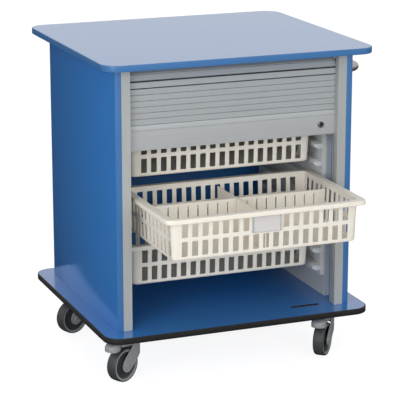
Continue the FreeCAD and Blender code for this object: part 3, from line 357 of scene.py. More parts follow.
def plain_material(name, colours, pattern, relief, surface, stretch=None, grain=None, dull=None):
    """One stuff throughout: a noise shades it, and this or a finer grain raises its surface.

    The pattern and grain are sockets of a noise, the relief those of a bump and the surface those
    of the shader; dull is a pair between which the noise spreads the roughness.
    """
    material, tree = new_material(name)
    spot = add_node(tree, "TexCoord").outputs["Object"]
    if stretch:
        spot = add_node(tree, "Mapping", {"Vector": spot, "Scale": stretch}).outputs[0]
    noise = add_node(tree, "TexNoise", {"Vector": spot, **pattern}).outputs["Fac"]
    height = add_node(tree, "TexNoise", {"Vector": spot, **grain}).outputs["Fac"] if grain else noise
    shades = {mix_share: noise, mix_from: linear(colours[0]), mix_to: linear(colours[1])}
    tone = add_node(tree, "Mix", shades, data_type="RGBA")
    wave = add_node(tree, "Bump", {"Height": height, **relief})
    if dull:
        spread = add_node(tree, "MapRange", {"Value": noise, "To Min": dull[0], "To Max": dull[1]})
        surface = {**surface, "Roughness": spread.outputs[0]}
    sockets = {"Base Color": tone.outputs[mix_colour], "Normal": wave.outputs[0], **surface}
    solid = add_node(tree, "BsdfPrincipled", sockets)
    add_node(tree, "OutputMaterial", {"Surface": solid.outputs[0]})
    return material


# ABS edging: dyed through, satin, a shade brighter than the laminate beside it.
edging_abs = plain_material(
    "abs_edging_blue",
    ("#35679B", "#3B6EA4"),
    {"Scale": 1 / (4 * mm), "Detail": 3},
    {"Distance": 0.02 * mm, "Strength": 0.3},
    {"Roughness": 0.34, "IOR": 1.53},
    stretch=(1, 1, 0.15),
)

edging_thickness = 1.2 * mm
edging_seam = 0.15 * mm
arris = 0.4 * mm
for side in ("left", "right"):
    low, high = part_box(f"side_panel_{side}")
    mesh = bmesh.new()
    bevelled_box(mesh, (low.x, low.y + edging_thickness + edging_seam, low.z), high, arris)
    add_piece(f"side_board_{side}", mesh, laminate, "cabinet", "laminate_blue", f"side_panel_{side}")
    mesh = bmesh.new()
    bevelled_box(mesh, low, (high.x, low.y + edging_thickness, high.z), arris)
    add_piece(f"side_edging_{side}", mesh, edging_abs, "cabinet", "edging_blue", f"side_panel_{side}")
dress(laminate, "back_panel")


# ---- Posts and head tracks ----
# Anodised aluminium extrusions stand behind the front edges and guide the shutter's
# ends in a groove; plastic rails under the worktop carry the groove on to the back.


def anodised_aluminium(name, colours, stretch):
    """Clear anodised aluminium: fine die lines along the extrusion and a soft grey sheen."""
    return plain_material(
        name,
        colours,
        {"Scale": 1 / (1.6 * mm), "Detail": 2},
        {"Distance": 0.01 * mm, "Strength": 0.4},
        {"Metallic": 0.35},
        stretch,
        dull=(0.42, 0.55),
    )


post_metal = anodised_aluminium("anodised_aluminium", ("#A9ACAC", "#BCBFBE"), (1, 1, 0.01))
dress(post_metal, "track_post_left", "track_post_right")

# Moulded grey polypropylene: matt, with a faint moulding grain.
rail_plastic = plain_material(
    "moulded_polypropylene_grey",
    ("#C9CBCD", "#D4D6D7"),
    {"Scale": 1 / (60 * mm), "Detail": 3},
    {"Distance": 0.04 * mm, "Strength": 0.4},
    {"Roughness": 0.48, "IOR": 1.49},
    grain={"Scale": 1 / (1.5 * mm), "Detail": 2},
)
dress(rail_plastic, "head_track_left", "head_track_right")


# ---- Linings and runner panels ----
# Grey-faced linings are screwed to the side panels; the moulded runner panels on them
# carry a ladder of ledges on which the trays slide.

# Matt grey melamine: a printed paper face with a fine pearl texture.
lining_melamine = plain_material(
    "melamine_lining_grey",
    ("#B8BBBE", "#C2C5C7"),
    {"Scale": 1 / (2.2 * mm), "Detail": 2},
    {"Distance": 0.04 * mm, "Strength": 0.5},
    {"Roughness": 0.42, "IOR": 1.5},
)
dress(lining_melamine, "lining_left", "lining_right")
dress(rail_plastic, "runner_panel_left", "runner_panel_right")


# ---- Worktop ----
# The top is the same laminate on an 18 mm board, with a thick ABS edging glued round it
# and milled to a small round on both arrises.


def quarter_round(radius, steps):
    """(inset, rise) pairs that turn a quarter circle, from level to upright."""
    turns = [math.radians(90 * step / steps) for step in range(steps + 1)]
    return [(radius * (1 - math.sin(turn)), radius * (1 - math.cos(turn))) for turn in turns]


band_thickness, band_round = 2 * mm, 1.6 * mm
mesh = plate_band("worktop_edge", [(band_thickness, 0), *quarter_round(band_round, 4)])
add_piece("worktop_edging", mesh, edging_abs, "cabinet", "edging_blue", "worktop_edge")

low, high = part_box("worktop")
mesh = bmesh.new()
inner_corner = plate_corner - band_thickness
skin(mesh, [round_rectangle(low.x, high.x, low.y, high.y, inner_corner, z) for z in (low.z, high.z)])
add_piece("worktop_board", mesh, laminate, "cabinet", "laminate_blue", "worktop")


# ---- Shutter ----
# A tambour of extruded grey PVC slats, hooked one in the next, runs in the posts' grooves; an
# aluminium bar along its foot takes the lock and serves as the grip.

# Grey PVC: extruded, dyed through, with a low sheen and faint draw lines along each slat.
slat_pvc = plain_material(
    "extruded_pvc_grey",
    ("#969A9D", "#A2A6A9"),
    {"Scale": 1 / (1.4 * mm), "Detail": 2},
    {"Distance": 0.01 * mm, "Strength": 0.4},
    {"Roughness": 0.38, "IOR": 1.53},
    stretch=(0.01, 1, 1),
)

curtain_low, curtain_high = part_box("shutter_curtain")
slat_depth = curtain_high.y - curtain_low.y
slat_pitch = 17 * mm
slat_joint = 0.9 * mm
bend_radius = 30 * mm
bend_foot = curtain_high.z
slat_front = curtain_low.y
curtain_y = slat_front + slat_depth / 2
bend_y = curtain_y + bend_radius


def slat_profile(tongued):
    """A slat's outline as (depth, height) from its outer foot, with or without its tongue."""
    soft = 0.4 * mm
    top = slat_pitch - slat_joint
    crest = slat_pitch + slat_joint
    near, far = slat_depth * 0.74, slat_depth * 0.88
    tongue = [(near, top), (near, crest), (far, crest), (far, top)]
    face = [(soft, 0), (0, soft), (0, top - soft), (soft, top)]
    back = [(slat_depth - soft, top), (slat_depth, top - soft), (slat_depth, soft), (slat_depth - soft, 0)]
    return face + (tongue if tongued else []) + back


def add_slat(mesh, place, tongued=True):
    """One slat across the opening; place turns (depth, height) into (y, z)."""
    rings = []
    for x in (curtain_low.x, curtain_high.x):
        rings.append([Vector((x, *place(depth, height))) for depth, height in slat_profile(tongued)])
    skin(mesh, rings)


# Two joints stand open where the slats begin to tip into the bend, and show dark with no tongue.
# Each slat stands a hair behind the one below it, so no two slats' faces lie in one plane.
open_joints = (2.0 * mm, 3.4 * mm)
slat_stagger = 0.04 * mm
mesh = bmesh.new()
slat_count = round((curtain_high.z - curtain_low.z) / slat_pitch)
for number in range(slat_count):
    foot = curtain_low.z + number * slat_pitch
    if number == slat_count - 1:
        foot += open_joints[0]
    front = slat_front + number * slat_stagger
    tongued = number < slat_count - len(open_joints)
    add_slat(mesh, lambda depth, height, foot=foot, front=front: (front + depth, foot + height), tongued)
curtain = add_piece("shutter_slats", mesh, slat_pvc, None, "slat_grey", "shutter_curtain")
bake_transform(curtain)

stored_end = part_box("stored_slats")[1].y
quarter = math.pi / 2 * bend_radius
bend_slats = int(quarter // slat_pitch)
lifted = sum(open_joints)
mesh = bmesh.new()
for number in range(bend_slats + 1):
    turn = (lifted + (number + 0.5) * slat_pitch) / bend_radius

    def on_bend(depth, height, turn=turn):
        """Flat slat tangent to the bend at its own turn."""
        radius = bend_radius + slat_depth / 2 - depth
        along = height - slat_pitch / 2
        y = bend_y - radius * math.cos(turn) + along * math.sin(turn)
        z = bend_foot + radius * math.sin(turn) + along * math.cos(turn)
        return y, z

    add_slat(mesh, on_bend)
run_z = bend_foot + bend_radius
run_start = bend_y + lifted + (bend_slats + 1) * slat_pitch - quarter
for number in range(int((stored_end - run_start) // slat_pitch)):
    start = run_start + number * slat_pitch
    add_slat(mesh, lambda depth, height, start=start: (start + height, run_z + slat_depth / 2 - depth))
add_piece("stored_shutter_slats", mesh, slat_pvc, "cabinet", "slat_grey", "stored_slats")

# The bar is the posts' aluminium, so it gets their finish with its lines running across; its colours are
# painted a shade lighter and bluer than the posts', as painted light on the bar.
lit_bar_metal = anodised_aluminium("anodised_aluminium_bar_painted_light", ("#AFB3B6", "#BEC2C5"), (0.01, 1, 1))

bar_soft, bar_groove, bar_lower_face = 1.2 * mm, 1.4 * mm, 56 * mm
bar_joint, bar_tongue = 1.4 * mm, 3 * mm
groove_foot, shoulder = bar_low.z + bar_lower_face, bar_high.z - bar_joint
tongue_y = bar_high.y - bar_tongue
bar_round = quarter_round(bar_soft, 3)
section = [(bar_high.y, bar_low.z)]
section += [(bar_low.y + inset, bar_low.z + rise) for inset, rise in bar_round]
section += [
    (bar_low.y, groove_foot),
    (bar_low.y + bar_groove, groove_foot + bar_groove / 2),
    (bar_low.y, groove_foot + bar_groove),
]
section += [(bar_low.y + inset, shoulder - rise) for inset, rise in reversed(bar_round)]
section += [(tongue_y, shoulder), (tongue_y, bar_high.z), (bar_high.y, bar_high.z)]
mesh = bmesh.new()
skin(mesh, [[Vector((x, y, z)) for y, z in section] for x in (bar_low.x, bar_high.x)])
add_piece("shutter_bar_extrusion", mesh, lit_bar_metal, "shutter", "post_aluminium", "shutter_bar", smooth=50)


# ---- Lock ----
# A cam lock of chromed zinc in the shutter's bar: the housing is let through the bar with its
# rim in front, and the plug turns in it, with a keyway at one end and the cam at the other.

# Chrome-plated zinc: bright and nearly mirror smooth, brushed by keys round the slot.
lock_chrome, tree = new_material("chromed_zinc")
spot = add_node(tree, "TexCoord").outputs["Object"]
wear = add_node(tree, "TexNoise", {"Vector": spot, "Scale": 1 / (2 * mm), "Detail": 4})
dull = add_node(tree, "MapRange", {"Value": wear.outputs["Fac"], "To Min": 0.12, "To Max": 0.3})
shades = {mix_share: wear.outputs["Fac"], mix_from: linear("#8E9194"), mix_to: linear("#B9BCBE")}
tone = add_node(tree, "Mix", shades, data_type="RGBA")
metal = add_node(
    tree,
    "BsdfPrincipled",
    {"Base Color": tone.outputs[mix_colour], "Metallic": 1, "Roughness": dull.outputs[0]},
)
add_node(tree, "OutputMaterial", {"Surface": metal.outputs[0]})


def turn_about(mesh, profile, centre, axis, ends="joined", steps=48):
    """Turn (radius, along) pairs about an axis through a point; radius may depend on the angle."""
    axis = Vector(axis).normalized()
    up = Vector((0, 0, 1)) if abs(axis.z) < 0.5 else Vector((1, 0, 0))
    side = up.cross(axis).normalized()
    rings = []
    for radius, along in profile:
        ring = []
        for step in range(steps):
            turn = math.tau * step / steps
            reach = radius(turn) if callable(radius) else radius
            out = side * math.cos(turn) + axis.cross(side) * math.sin(turn)
            ring.append(Vector(centre) + axis * along + out * reach)
        rings.append(ring)
    skin(mesh, rings, ends)


rim_out, barrel_depth = 2.5 * mm, bar_high.y - bar_low.y
plug_radius, plug_out = 6.5 * mm, 3 * mm
bore = plug_radius + 0.05 * mm
lock_face = Vector((lock_axis.x, bar_low.y, lock_axis.z))
toward_user = (0, -1, 0)
barrel_radius, rim_radius = 8.5 * mm, 10 * mm
mesh = bmesh.new()
housing = (
    (bore, -barrel_depth),
    (barrel_radius, -barrel_depth),
    (barrel_radius, 0),
    (rim_radius, 0),
    (rim_radius, 1.3 * mm),
    (9.6 * mm, 2.1 * mm),
    (8.8 * mm, rim_out),
    (7.6 * mm, rim_out),
    (7.0 * mm, rim_out - 0.3 * mm),
    (bore, rim_out - 0.9 * mm),
)
turn_about(mesh, housing, lock_face, toward_user)
add_piece("lock_housing", mesh, lock_chrome, "shutter", "lock_chrome", "lock_escutcheon")


def keyway(turn):
    """The keyway's edge from the plug's axis, an upright slot."""
    half_width, half_height = 0.8 * mm, 3.25 * mm
    least = 0.001
    across, upright = max(abs(math.cos(turn)), least), max(abs(math.sin(turn)), least)
    return min(half_width / across, half_height / upright)


plug_low, plug_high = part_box("lock_cylinder")
plug_back = bar_low.y - plug_high.y
cam_half, cam_thickness = 4 * mm, 3 * mm
plug_soft, keyway_depth = 0.4 * mm, 2 * mm
mesh = bmesh.new()
plug = (
    (plug_radius, plug_back),
    (plug_radius, plug_out - plug_soft),
    (plug_radius - plug_soft, plug_out),
    (keyway, plug_out),
    (keyway, plug_out - keyway_depth),
)
turn_about(mesh, plug, lock_face, toward_user, "capped")
cam_low = (plug_low.x, plug_high.y - cam_thickness, lock_axis.z - cam_half)
bevelled_box(mesh, cam_low, (lock_axis.x, plug_high.y, lock_axis.z + cam_half), plug_soft)
add_piece("lock_plug", mesh, lock_chrome, "lock", "lock_chrome", "lock_cylinder")


# ---- Trays ----
# Modular trays injection-moulded in cream ABS: tapered tubs with two rows of slots in
# every wall and a turned-down rim that hangs on the runner ledges. Two slit dividers, moulded
# of the same, stand in the middle one.

# Cream ABS: dyed through, soft satin from the mould, a touch of light passing into it.
tray_abs = plain_material(
    "moulded_abs_cream",
    ("#E1DACE", "#E8E2D7"),
    {"Scale": 1 / (90 * mm), "Detail": 3},
    {"Distance": 0.03 * mm, "Strength": 0.35},
    {
        "IOR": 1.54,
        "Subsurface Weight": 0.5,
        "Subsurface Radius": (1, 0.85, 0.65),
        "Subsurface Scale": 8 * mm,
    },
    grain={"Scale": 1 / (1.3 * mm), "Detail": 2},
    dull=(0.36, 0.46),
)

rim_reach, rim_height, rim_corner, rim_wall = 20 * mm, 13 * mm, 24 * mm, 3 * mm
tray_wall, tray_taper, tray_corner = 2.5 * mm, 5 * mm, 16 * mm
slot_width, slot_height, slot_pitch, slot_round = 17.6 * mm, 42 * mm, 30 * mm, 2.5 * mm
slot_foot, slot_between, slot_margin, foot_round = 11 * mm, 12 * mm, 1 * mm, 6 * mm


def patch(mesh, rows):
    """Four-sided faces over a grid of points."""
    verts = [[mesh.verts.new(point) for point in row] for row in rows]
    for lower, upper in zip(verts, verts[1:]):
        for here in range(len(lower) - 1):
            mesh.faces.new((lower[here], lower[here + 1], upper[here + 1], upper[here]))


def slotted_cell(mesh, at, middle, foot, top, slot_low):
    """A cell of wall round one slot, whose edge is given back; at(u, z) is a point on the wall."""
    left, right = middle - slot_pitch / 2, middle + slot_pitch / 2
    near, far = middle - slot_width / 2 + slot_round, middle + slot_width / 2 - slot_round
    lower, upper = slot_low + slot_round, slot_low + slot_height - slot_round
    arcs = (
        (far, lower, -90, (right, foot)),
        (far, upper, 0, (right, top)),
        (near, upper, 90, (left, top)),
        (near, lower, 180, (left, foot)),
    )
    steps = 4
    around = []
    for u, z, start, corner in arcs:
        arc = []
        for step in range(steps + 1):
            turn = math.radians(start + 90 * step / steps)
            arc.append(mesh.verts.new(at(u + slot_round * math.cos(turn), z + slot_round * math.sin(turn))))
        # Going round, every second corner is met along its upright edge first.
        ends = [(u, corner[1]), corner, (corner[0], z)]
        if start in (0, 180):
            ends.reverse()
        around.append((arc, *(mesh.verts.new(at(*end)) for end in ends)))
    for number, (arc, before, corner, after) in enumerate(around):
        half = steps // 2
        mesh.faces.new((before, corner, *reversed(arc[: half + 1])))
        mesh.faces.new((corner, after, *reversed(arc[half:])))
        next_arc, next_before, _, _ = around[(number + 1) % 4]
        mesh.faces.new((after, next_before, next_arc[0], arc[-1]))
    return [vert for arc, _, _, _ in around for vert in arc]


def slot_centres(run):
    """Slots evenly spaced about the middle, as many as fit in a run."""
    count = int((run - slot_width - slot_margin) / slot_pitch) + 1
    return [slot_pitch * (number - (count - 1) / 2) for number in range(count)]


def add_rim(mesh, low, high):
    """Add the rim to a tub: up from its mouth, over, and down outside to a lip."""
    plan = (low.x, high.x, low.y, high.y)
    top, lip, mouth = high.z - rim_wall, high.z - rim_height, rim_reach + tray_wall
    soft, fillet, crest, crest_middle = 0.8 * mm, 2 * mm, 2.4 * mm, 0.7 * mm
    inside = ((mouth, top), (mouth, high.z - soft), (mouth - soft, high.z))
    outside = (
        (crest, high.z),
        (crest_middle, high.z - crest_middle),
        (0, high.z - crest),
        (0, lip + soft),
        (soft, lip),
        (rim_wall - soft, lip),
        (rim_wall, lip + soft),
        (rim_wall, top - fillet),
        (rim_wall + fillet, top),
    )
    corner_steps = 6
    mouth_corner = rim_reach + tray_corner
    rings = [round_rectangle(*plan, mouth_corner, z, corner_steps, inset) for inset, z in inside]
    rings += [round_rectangle(*plan, rim_corner, z, corner_steps, inset) for inset, z in outside]
    skin(mesh, rings, "joined")


def tray_mesh(node):
    """A tapered tub with slots in all four walls, a round foot and a turned-down rim."""
    low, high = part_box(node)
    centre = (low + high) / 2
    half = ((high.x - low.x) / 2 - rim_reach, (high.y - low.y) / 2 - rim_reach)
    foot, top = low.z, high.z - rim_wall
    lower = foot + slot_foot
    upper = lower + slot_height + slot_between
    between = upper - slot_between / 2
    # The corners' rows lie at the heights where the slotted cells beside them have points.
    levels = [foot + foot_round]
    for start in (lower, upper):
        levels += [start + slot_round, start + slot_height - slot_round]
        levels.append(between if start == lower else top)
    # Each wall has its outward and lengthwise directions, its distance out and half its length.
    walls = [
        (Vector((0, -1, 0)), Vector((1, 0, 0)), half[1], half[0]),
        (Vector((1, 0, 0)), Vector((0, 1, 0)), half[0], half[1]),
        (Vector((0, 1, 0)), Vector((-1, 0, 0)), half[1], half[0]),
        (Vector((-1, 0, 0)), Vector((0, -1, 0)), half[0], half[1]),
    ]

    def lean(z):
        """How far the taper has drawn a wall in at a height."""
        return tray_taper * (top - z) / (top - foot)

    def on_wall(wall, u, z, inset=0):
        """A point on a wall, u along it from its middle, on its outer face or inset from it."""
        out, along, reach, _ = walls[wall % 4]
        return Vector((centre.x, centre.y, z)) + out * (reach - lean(z) - inset) + along * u

    def corner_points(wall, z, inset=0, steps=5):
        """The round corner after a wall, from its end to the next wall's start."""
        out, along, reach, run = walls[wall]
        middle = out * (reach - tray_corner - lean(z)) + along * (run - tray_corner - lean(z))
        points = []
        for step in range(steps + 1):
            turn = math.radians(90 * step / steps)
            spread = (out * math.cos(turn) + along * math.sin(turn)) * (tray_corner - inset)
            points.append(Vector((centre.x, centre.y, z)) + middle + spread)
        return points

    mesh = bmesh.new()
    columns = [slot_centres((run - tray_corner) * 2) for _, _, _, run in walls]
    for wall in range(4):
        for u in columns[wall]:
            for row, cell_foot, cell_top in ((lower, levels[0], between), (upper, between, top)):
                one, other = [
                    slotted_cell(mesh, lambda a, b: on_wall(wall, a, b, inset), u, cell_foot, cell_top, row)
                    for inset in (0, tray_wall)
                ]
                for here in range(len(one)):
                    mesh.faces.new((one[here - 1], one[here], other[here], other[here - 1]))
        edge = columns[wall][-1] + slot_pitch / 2
        next_edge = columns[(wall + 1) % 4][0] - slot_pitch / 2
        for inset in (0, tray_wall):
            rows = []
            for z in levels:
                start, end = on_wall(wall, edge, z, inset), on_wall(wall + 1, next_edge, z, inset)
                rows.append([start, *corner_points(wall, z, inset), end])
            patch(mesh, rows)

    flat = slot_width / 2 - slot_round

    def outline(z, inset):
        """Points round the tub at a height, one below each point of the lowest cells' feet."""
        points = []
        for wall in range(4):
            for u in columns[wall]:
                points += [on_wall(wall, u + part, z, inset) for part in (-slot_pitch / 2, -flat, flat)]
            points.append(on_wall(wall, columns[wall][-1] + slot_pitch / 2, z, inset))
            points += corner_points(wall, z, inset)
        return points

    for inset in (0, tray_wall):
        turned = reversed(quarter_round(foot_round - inset, 4))
        rings = [outline(foot + inset + rise, inset + drawn_in) for drawn_in, rise in turned]
        skin(mesh, rings, "open")
        mesh.faces.new([mesh.verts.new(point) for point in reversed(rings[-1])])
    bmesh.ops.remove_doubles(mesh, verts=mesh.verts, dist=0.01 * mm)
    add_rim(mesh, low, high)
    return mesh


for name in ("top", "middle", "bottom"):
    mesh = tray_mesh(f"tray_{name}")
    add_piece(f"tray_{name}_moulding", mesh, tray_abs, f"{name}_tray", "tray_cream", f"tray_{name}")
dress(tray_abs, "long_divider", "cross_divider")


# ---- Label holder ----
# A clear PVC pocket, moulded in one, that hooks through two slots of the middle tray's front
# and holds a blank paper card.

# Clear PVC: smooth and glossy, slightly milky where it is thick.
clear_pvc = plain_material(
    "clear_pvc",
    ("#DCE2E6", "#E8EDF0"),
    {"Scale": 1 / (12 * mm), "Detail": 2},
    {"Distance": 0.05 * mm, "Strength": 0.4},
    {"Roughness": 0.15, "IOR": 1.53, "Transmission Weight": 0.55},
)
dress(clear_pvc, "label_holder")

# Index card: uncoated paper board with short fibres.
card_board = plain_material(
    "paper_card_white",
    ("#C2BEBD", "#CDC9C8"),
    {"Scale": 1 / (0.9 * mm), "Detail": 4, "Distortion": 0.8},
    {"Distance": 0.03 * mm, "Strength": 0.4},
    {"Roughness": 0.8, "IOR": 1.45},
)
dress(card_board, "label_card")


# ---- Push handle ----
# A zinc-plated steel tube, bent at both ends and pushed into two flanges that are screwed to
# the right side panel.

# Bright zinc-plated steel: a metal whose spangle breaks up its reflections.
plated_steel, tree = new_material("zinc_plated_steel")
spot = add_node(tree, "TexCoord").outputs["Object"]
spangle = add_node(tree, "TexVoronoi", {"Vector": spot, "Scale": 1 / (4 * mm)})
mottle = add_node(tree, "TexNoise", {"Vector": spot, "Scale": 1 / (6 * mm), "Detail": 4})
shades = {mix_share: mottle.outputs["Fac"], mix_from: linear("#8C8A86"), mix_to: linear("#BFBDB8")}
tone = add_node(tree, "Mix", shades, data_type="RGBA")
dull = add_node(tree, "MapRange", {"Value": spangle.outputs["Distance"], "To Min": 0.24, "To Max": 0.4})
wave = add_node(tree, "Bump", {"Height": mottle.outputs["Fac"], "Distance": 0.05 * mm, "Strength": 0.4})
metal = add_node(
    tree,
    "BsdfPrincipled",
    {
        "Base Color": tone.outputs[mix_colour],
        "Metallic": 0.8,
        "Roughness": dull.outputs[0],
        "Normal": wave.outputs[0],
    },
)
add_node(tree, "OutputMaterial", {"Surface": metal.outputs[0]})


def level_direction(heading):
    """The level direction at a heading in degrees, anticlockwise from +x."""
    turn = math.radians(heading)
    return Vector((math.cos(turn), math.sin(turn), 0))


low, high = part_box("push_handle")
tube_radius, tube_bend = 12.5 * mm, 38 * mm
bend_steps, tube_sides = 12, 32
tube_z = (low.z + high.z) / 2
run_x, first_y, last_y = high.x - tube_radius, low.y + tube_radius, high.y - tube_radius
route = [(Vector((low.x, first_y, tube_z)), -90)]
for bend_y, start in ((first_y + tube_bend, -90), (last_y - tube_bend, 0)):
    for step in range(bend_steps + 1):
        heading = start + 90 * step / bend_steps
        centre = Vector((run_x - tube_bend, bend_y, tube_z))
        route.append((centre + level_direction(heading) * tube_bend, heading))
route.append((Vector((low.x, last_y, tube_z)), 90))
rings = []
for point, heading in route:
    ring = []
    for step in range(tube_sides):
        turn = math.tau * step / tube_sides
        out = level_direction(heading) * math.cos(turn) + Vector((0, 0, 1)) * math.sin(turn)
        ring.append(point + out * tube_radius)
    rings.append(ring)
mesh = bmesh.new()
skin(mesh, rings)
add_piece("push_handle_tube", mesh, plated_steel, "cabinet", "handle_steel", "push_handle", smooth=50)

flange_radius, flange_bore, flange_face = 23 * mm, 12.6 * mm, 3.2 * mm
flange = (
    (flange_bore, 0),
    (flange_radius, 0),
    (flange_radius, flange_face - 1.2 * mm),
    (flange_radius - 0.5 * mm, flange_face - 0.3 * mm),
    (flange_radius - 1.4 * mm, flange_face),
    (flange_bore + 0.6 * mm, flange_face),
    (flange_bore, flange_face - 0.5 * mm),
)
screw_radius, screw_circle = 3.6 * mm, 17.8 * mm
head = (
    (screw_radius, 1.0 * mm),
    (screw_radius, flange_face + 0.2 * mm),
    (2.8 * mm, flange_face + 0.8 * mm),
    (1.4 * mm, flange_face + 0.8 * mm),
    (1.2 * mm, flange_face - 1.2 * mm),
)
flanges, heads = bmesh.new(), bmesh.new()
for y in (first_y, last_y):
    turn_about(flanges, flange, (low.x, y, tube_z), (1, 0, 0))
    for side in (-1, 1):
        turn_about(heads, head, (low.x, y, tube_z + side * screw_circle), (1, 0, 0), "capped", 24)
add_piece("handle_flange_rings", flanges, plated_steel, "cabinet", "handle_steel", "handle_flanges")
add_piece("handle_screw_heads", heads, plated_steel, "cabinet", "fastener_steel", "handle_screws")


# ---- Castors ----
# Swivel castors bolted under the base: a moulded grey fork, a wheel with a dark rubber tread on
# a light rim and a dark dished centre, and a brake pedal over the wheel on the front pair.

# Grey nylon: glass-filled, moulded, satin with a faint swirl.
housing_nylon = plain_material(
    "moulded_nylon_grey",
    ("#838585", "#919393"),
    {"Scale": 1 / (10 * mm), "Detail": 4, "Distortion": 1},
    {"Distance": 0.03 * mm, "Strength": 0.4},
    {"Roughness": 0.36, "IOR": 1.53},
    grain={"Scale": 1 / (1 * mm), "Detail": 2},
)

# Dark thermoplastic rubber: matt, dust-grey on the running face.
tread_rubber = plain_material(
    "thermoplastic_rubber_dark",
    ("#2F3133", "#404345"),
    {"Scale": 1 / (8 * mm), "Detail": 5},
    {"Distance": 0.08 * mm, "Strength": 0.4},
    {"Roughness": 0.55, "IOR": 1.5},
)

# Dark grey nylon: the wheel's dished centre, moulded with a fine matt grain.
web_nylon = plain_material(
    "moulded_nylon_dark",
    ("#2C2D2F", "#3A3B3D"),
    {"Scale": 1 / (2 * mm), "Detail": 3},
    {"Distance": 0.05 * mm, "Strength": 0.4},
    {"Roughness": 0.5, "IOR": 1.53},
)

# A castor is drawn about its swivel axis, z = 0 under the base board, with its wheel toward +x.
castor_height, castor_trail = 134 * mm, 40 * mm
wheel_radius, wheel_half = 50 * mm, 16 * mm
hub_z = wheel_radius - castor_height
hub = (castor_trail, 0, hub_z)
leg_inner, leg_outer = 19 * mm, 22 * mm
crown_top, crown_radius, crown_foot = -9.3 * mm, 33 * mm, -17.3 * mm
leg_top, back_foot, back_x = -13.3 * mm, -50 * mm, -25 * mm
sideways = (0, 1, 0)


def castor_pose(name):
    """The matrix that seats a castor drawn about its axis."""
    places = {joint["name"]: Vector(joint["pos_m"]) for joint in frame["joints"] if joint.get("pos_m")}
    swivel, axle = places[f"swivel_{name}"], places[f"roll_{name}"]
    turn = math.atan2(axle.y - swivel.y, axle.x - swivel.x)
    return Matrix.Translation((swivel.x, swivel.y, castor_height)) @ Matrix.Rotation(turn, 4, "Z")


def add_seated(name, kind, mesh, material, body, slot, node):
    """Seat a castor's mesh at its place under the base and make it a piece on its own body."""
    bmesh.ops.transform(mesh, matrix=castor_pose(name), verts=mesh.verts)
    add_piece(f"{kind}_{name}", mesh, material, f"{body}_{name}", slot, f"{node}_{name}")


def leg_span(x):
    """Lowest and highest point of a fork leg at a distance from the swivel axis."""
    boss, fade = 20 * mm, 1.5 * mm
    # Where the leg's front edge turns, in millimetres.
    front = ((16, -13.3), (17.5, -29), (22, -36), (34, -47), (46, -58.5), (54, -69.7), (60, -84))
    foot_slope = (back_foot - hub_z + boss * 0.8) / (castor_trail - boss * 0.6 - back_x)
    low = back_foot - (x - back_x) * foot_slope
    if x > castor_trail - boss * 0.6:
        low = hub_z - math.sqrt(max(boss**2 - (x - castor_trail) ** 2, 0))
    high = leg_top
    for (x0, z0), (x1, z1) in zip(front, front[1:]):
        if x0 * mm <= x <= x1 * mm:
            high = (z0 + (z1 - z0) * (x / mm - x0) / (x1 - x0)) * mm
    return low, max(high, low + fade)


def fork_mesh():
    """A crown with a round edge, and one moulded wall that runs down both legs and round the back."""
    mesh = bmesh.new()
    pin_hole, crown_wall, crown_soft = 6.05 * mm, 4 * mm, 1 * mm
    crest, crest_middle = 2.4 * mm, 0.7 * mm
    crown = (
        (pin_hole, crown_top - crown_wall),
        (pin_hole, crown_top),
        (crown_radius - crest, crown_top),
        (crown_radius - crest_middle, crown_top - crest_middle),
        (crown_radius, crown_top - crest),
        (crown_radius, crown_foot + crown_soft),
        (crown_radius - crown_soft, crown_foot),
        (crown_radius - crown_wall + crown_soft, crown_foot),
        (crown_radius - crown_wall, crown_top - crown_wall),
    )
    turn_about(mesh, crown, (0, 0, 0), (0, 0, 1))
    back_middle = back_x + leg_outer
    # Along a leg the stations stand close where its front edge turns; round the back they are even.
    leg_ends = (59.6, 58.5, 56.5, 54, 50, 46, 40, 34, 30, 28)
    leg_roots = (25, 22, 20, 18.8, 17.5, 16.8, 16, 15, 8, 2)
    legs = [x * mm for x in (*leg_ends, *leg_roots)]
    back_steps = 12
    stations = [(x, Vector((x, leg_outer, 0)), Vector((0, -1, 0))) for x in legs]
    for step in range(back_steps + 1):
        out = level_direction(90 + 180 * step / back_steps)
        outer = Vector((back_middle, 0, 0)) + out * leg_outer
        stations.append((outer.x, outer, -out))
    stations += [(x, Vector((x, -leg_outer, 0)), Vector((0, 1, 0))) for x in reversed(legs)]
    thickness = leg_outer - leg_inner
    rings = []
    for x, outer, inward in stations:
        low, high = leg_span(x)
        soft = min(1.1 * mm, (high - low) / 3)
        ring = []
        for depth, z in (
            (0, low + soft),
            (0, high - soft),
            (soft, high),
            (thickness - soft / 2, high),
            (thickness, high - soft / 2),
            (thickness, low + soft / 2),
            (thickness - soft / 2, low),
            (soft, low),
        ):
            ring.append(outer + inward * depth + Vector((0, 0, z)))
        rings.append(ring)
    skin(mesh, rings)
    return mesh


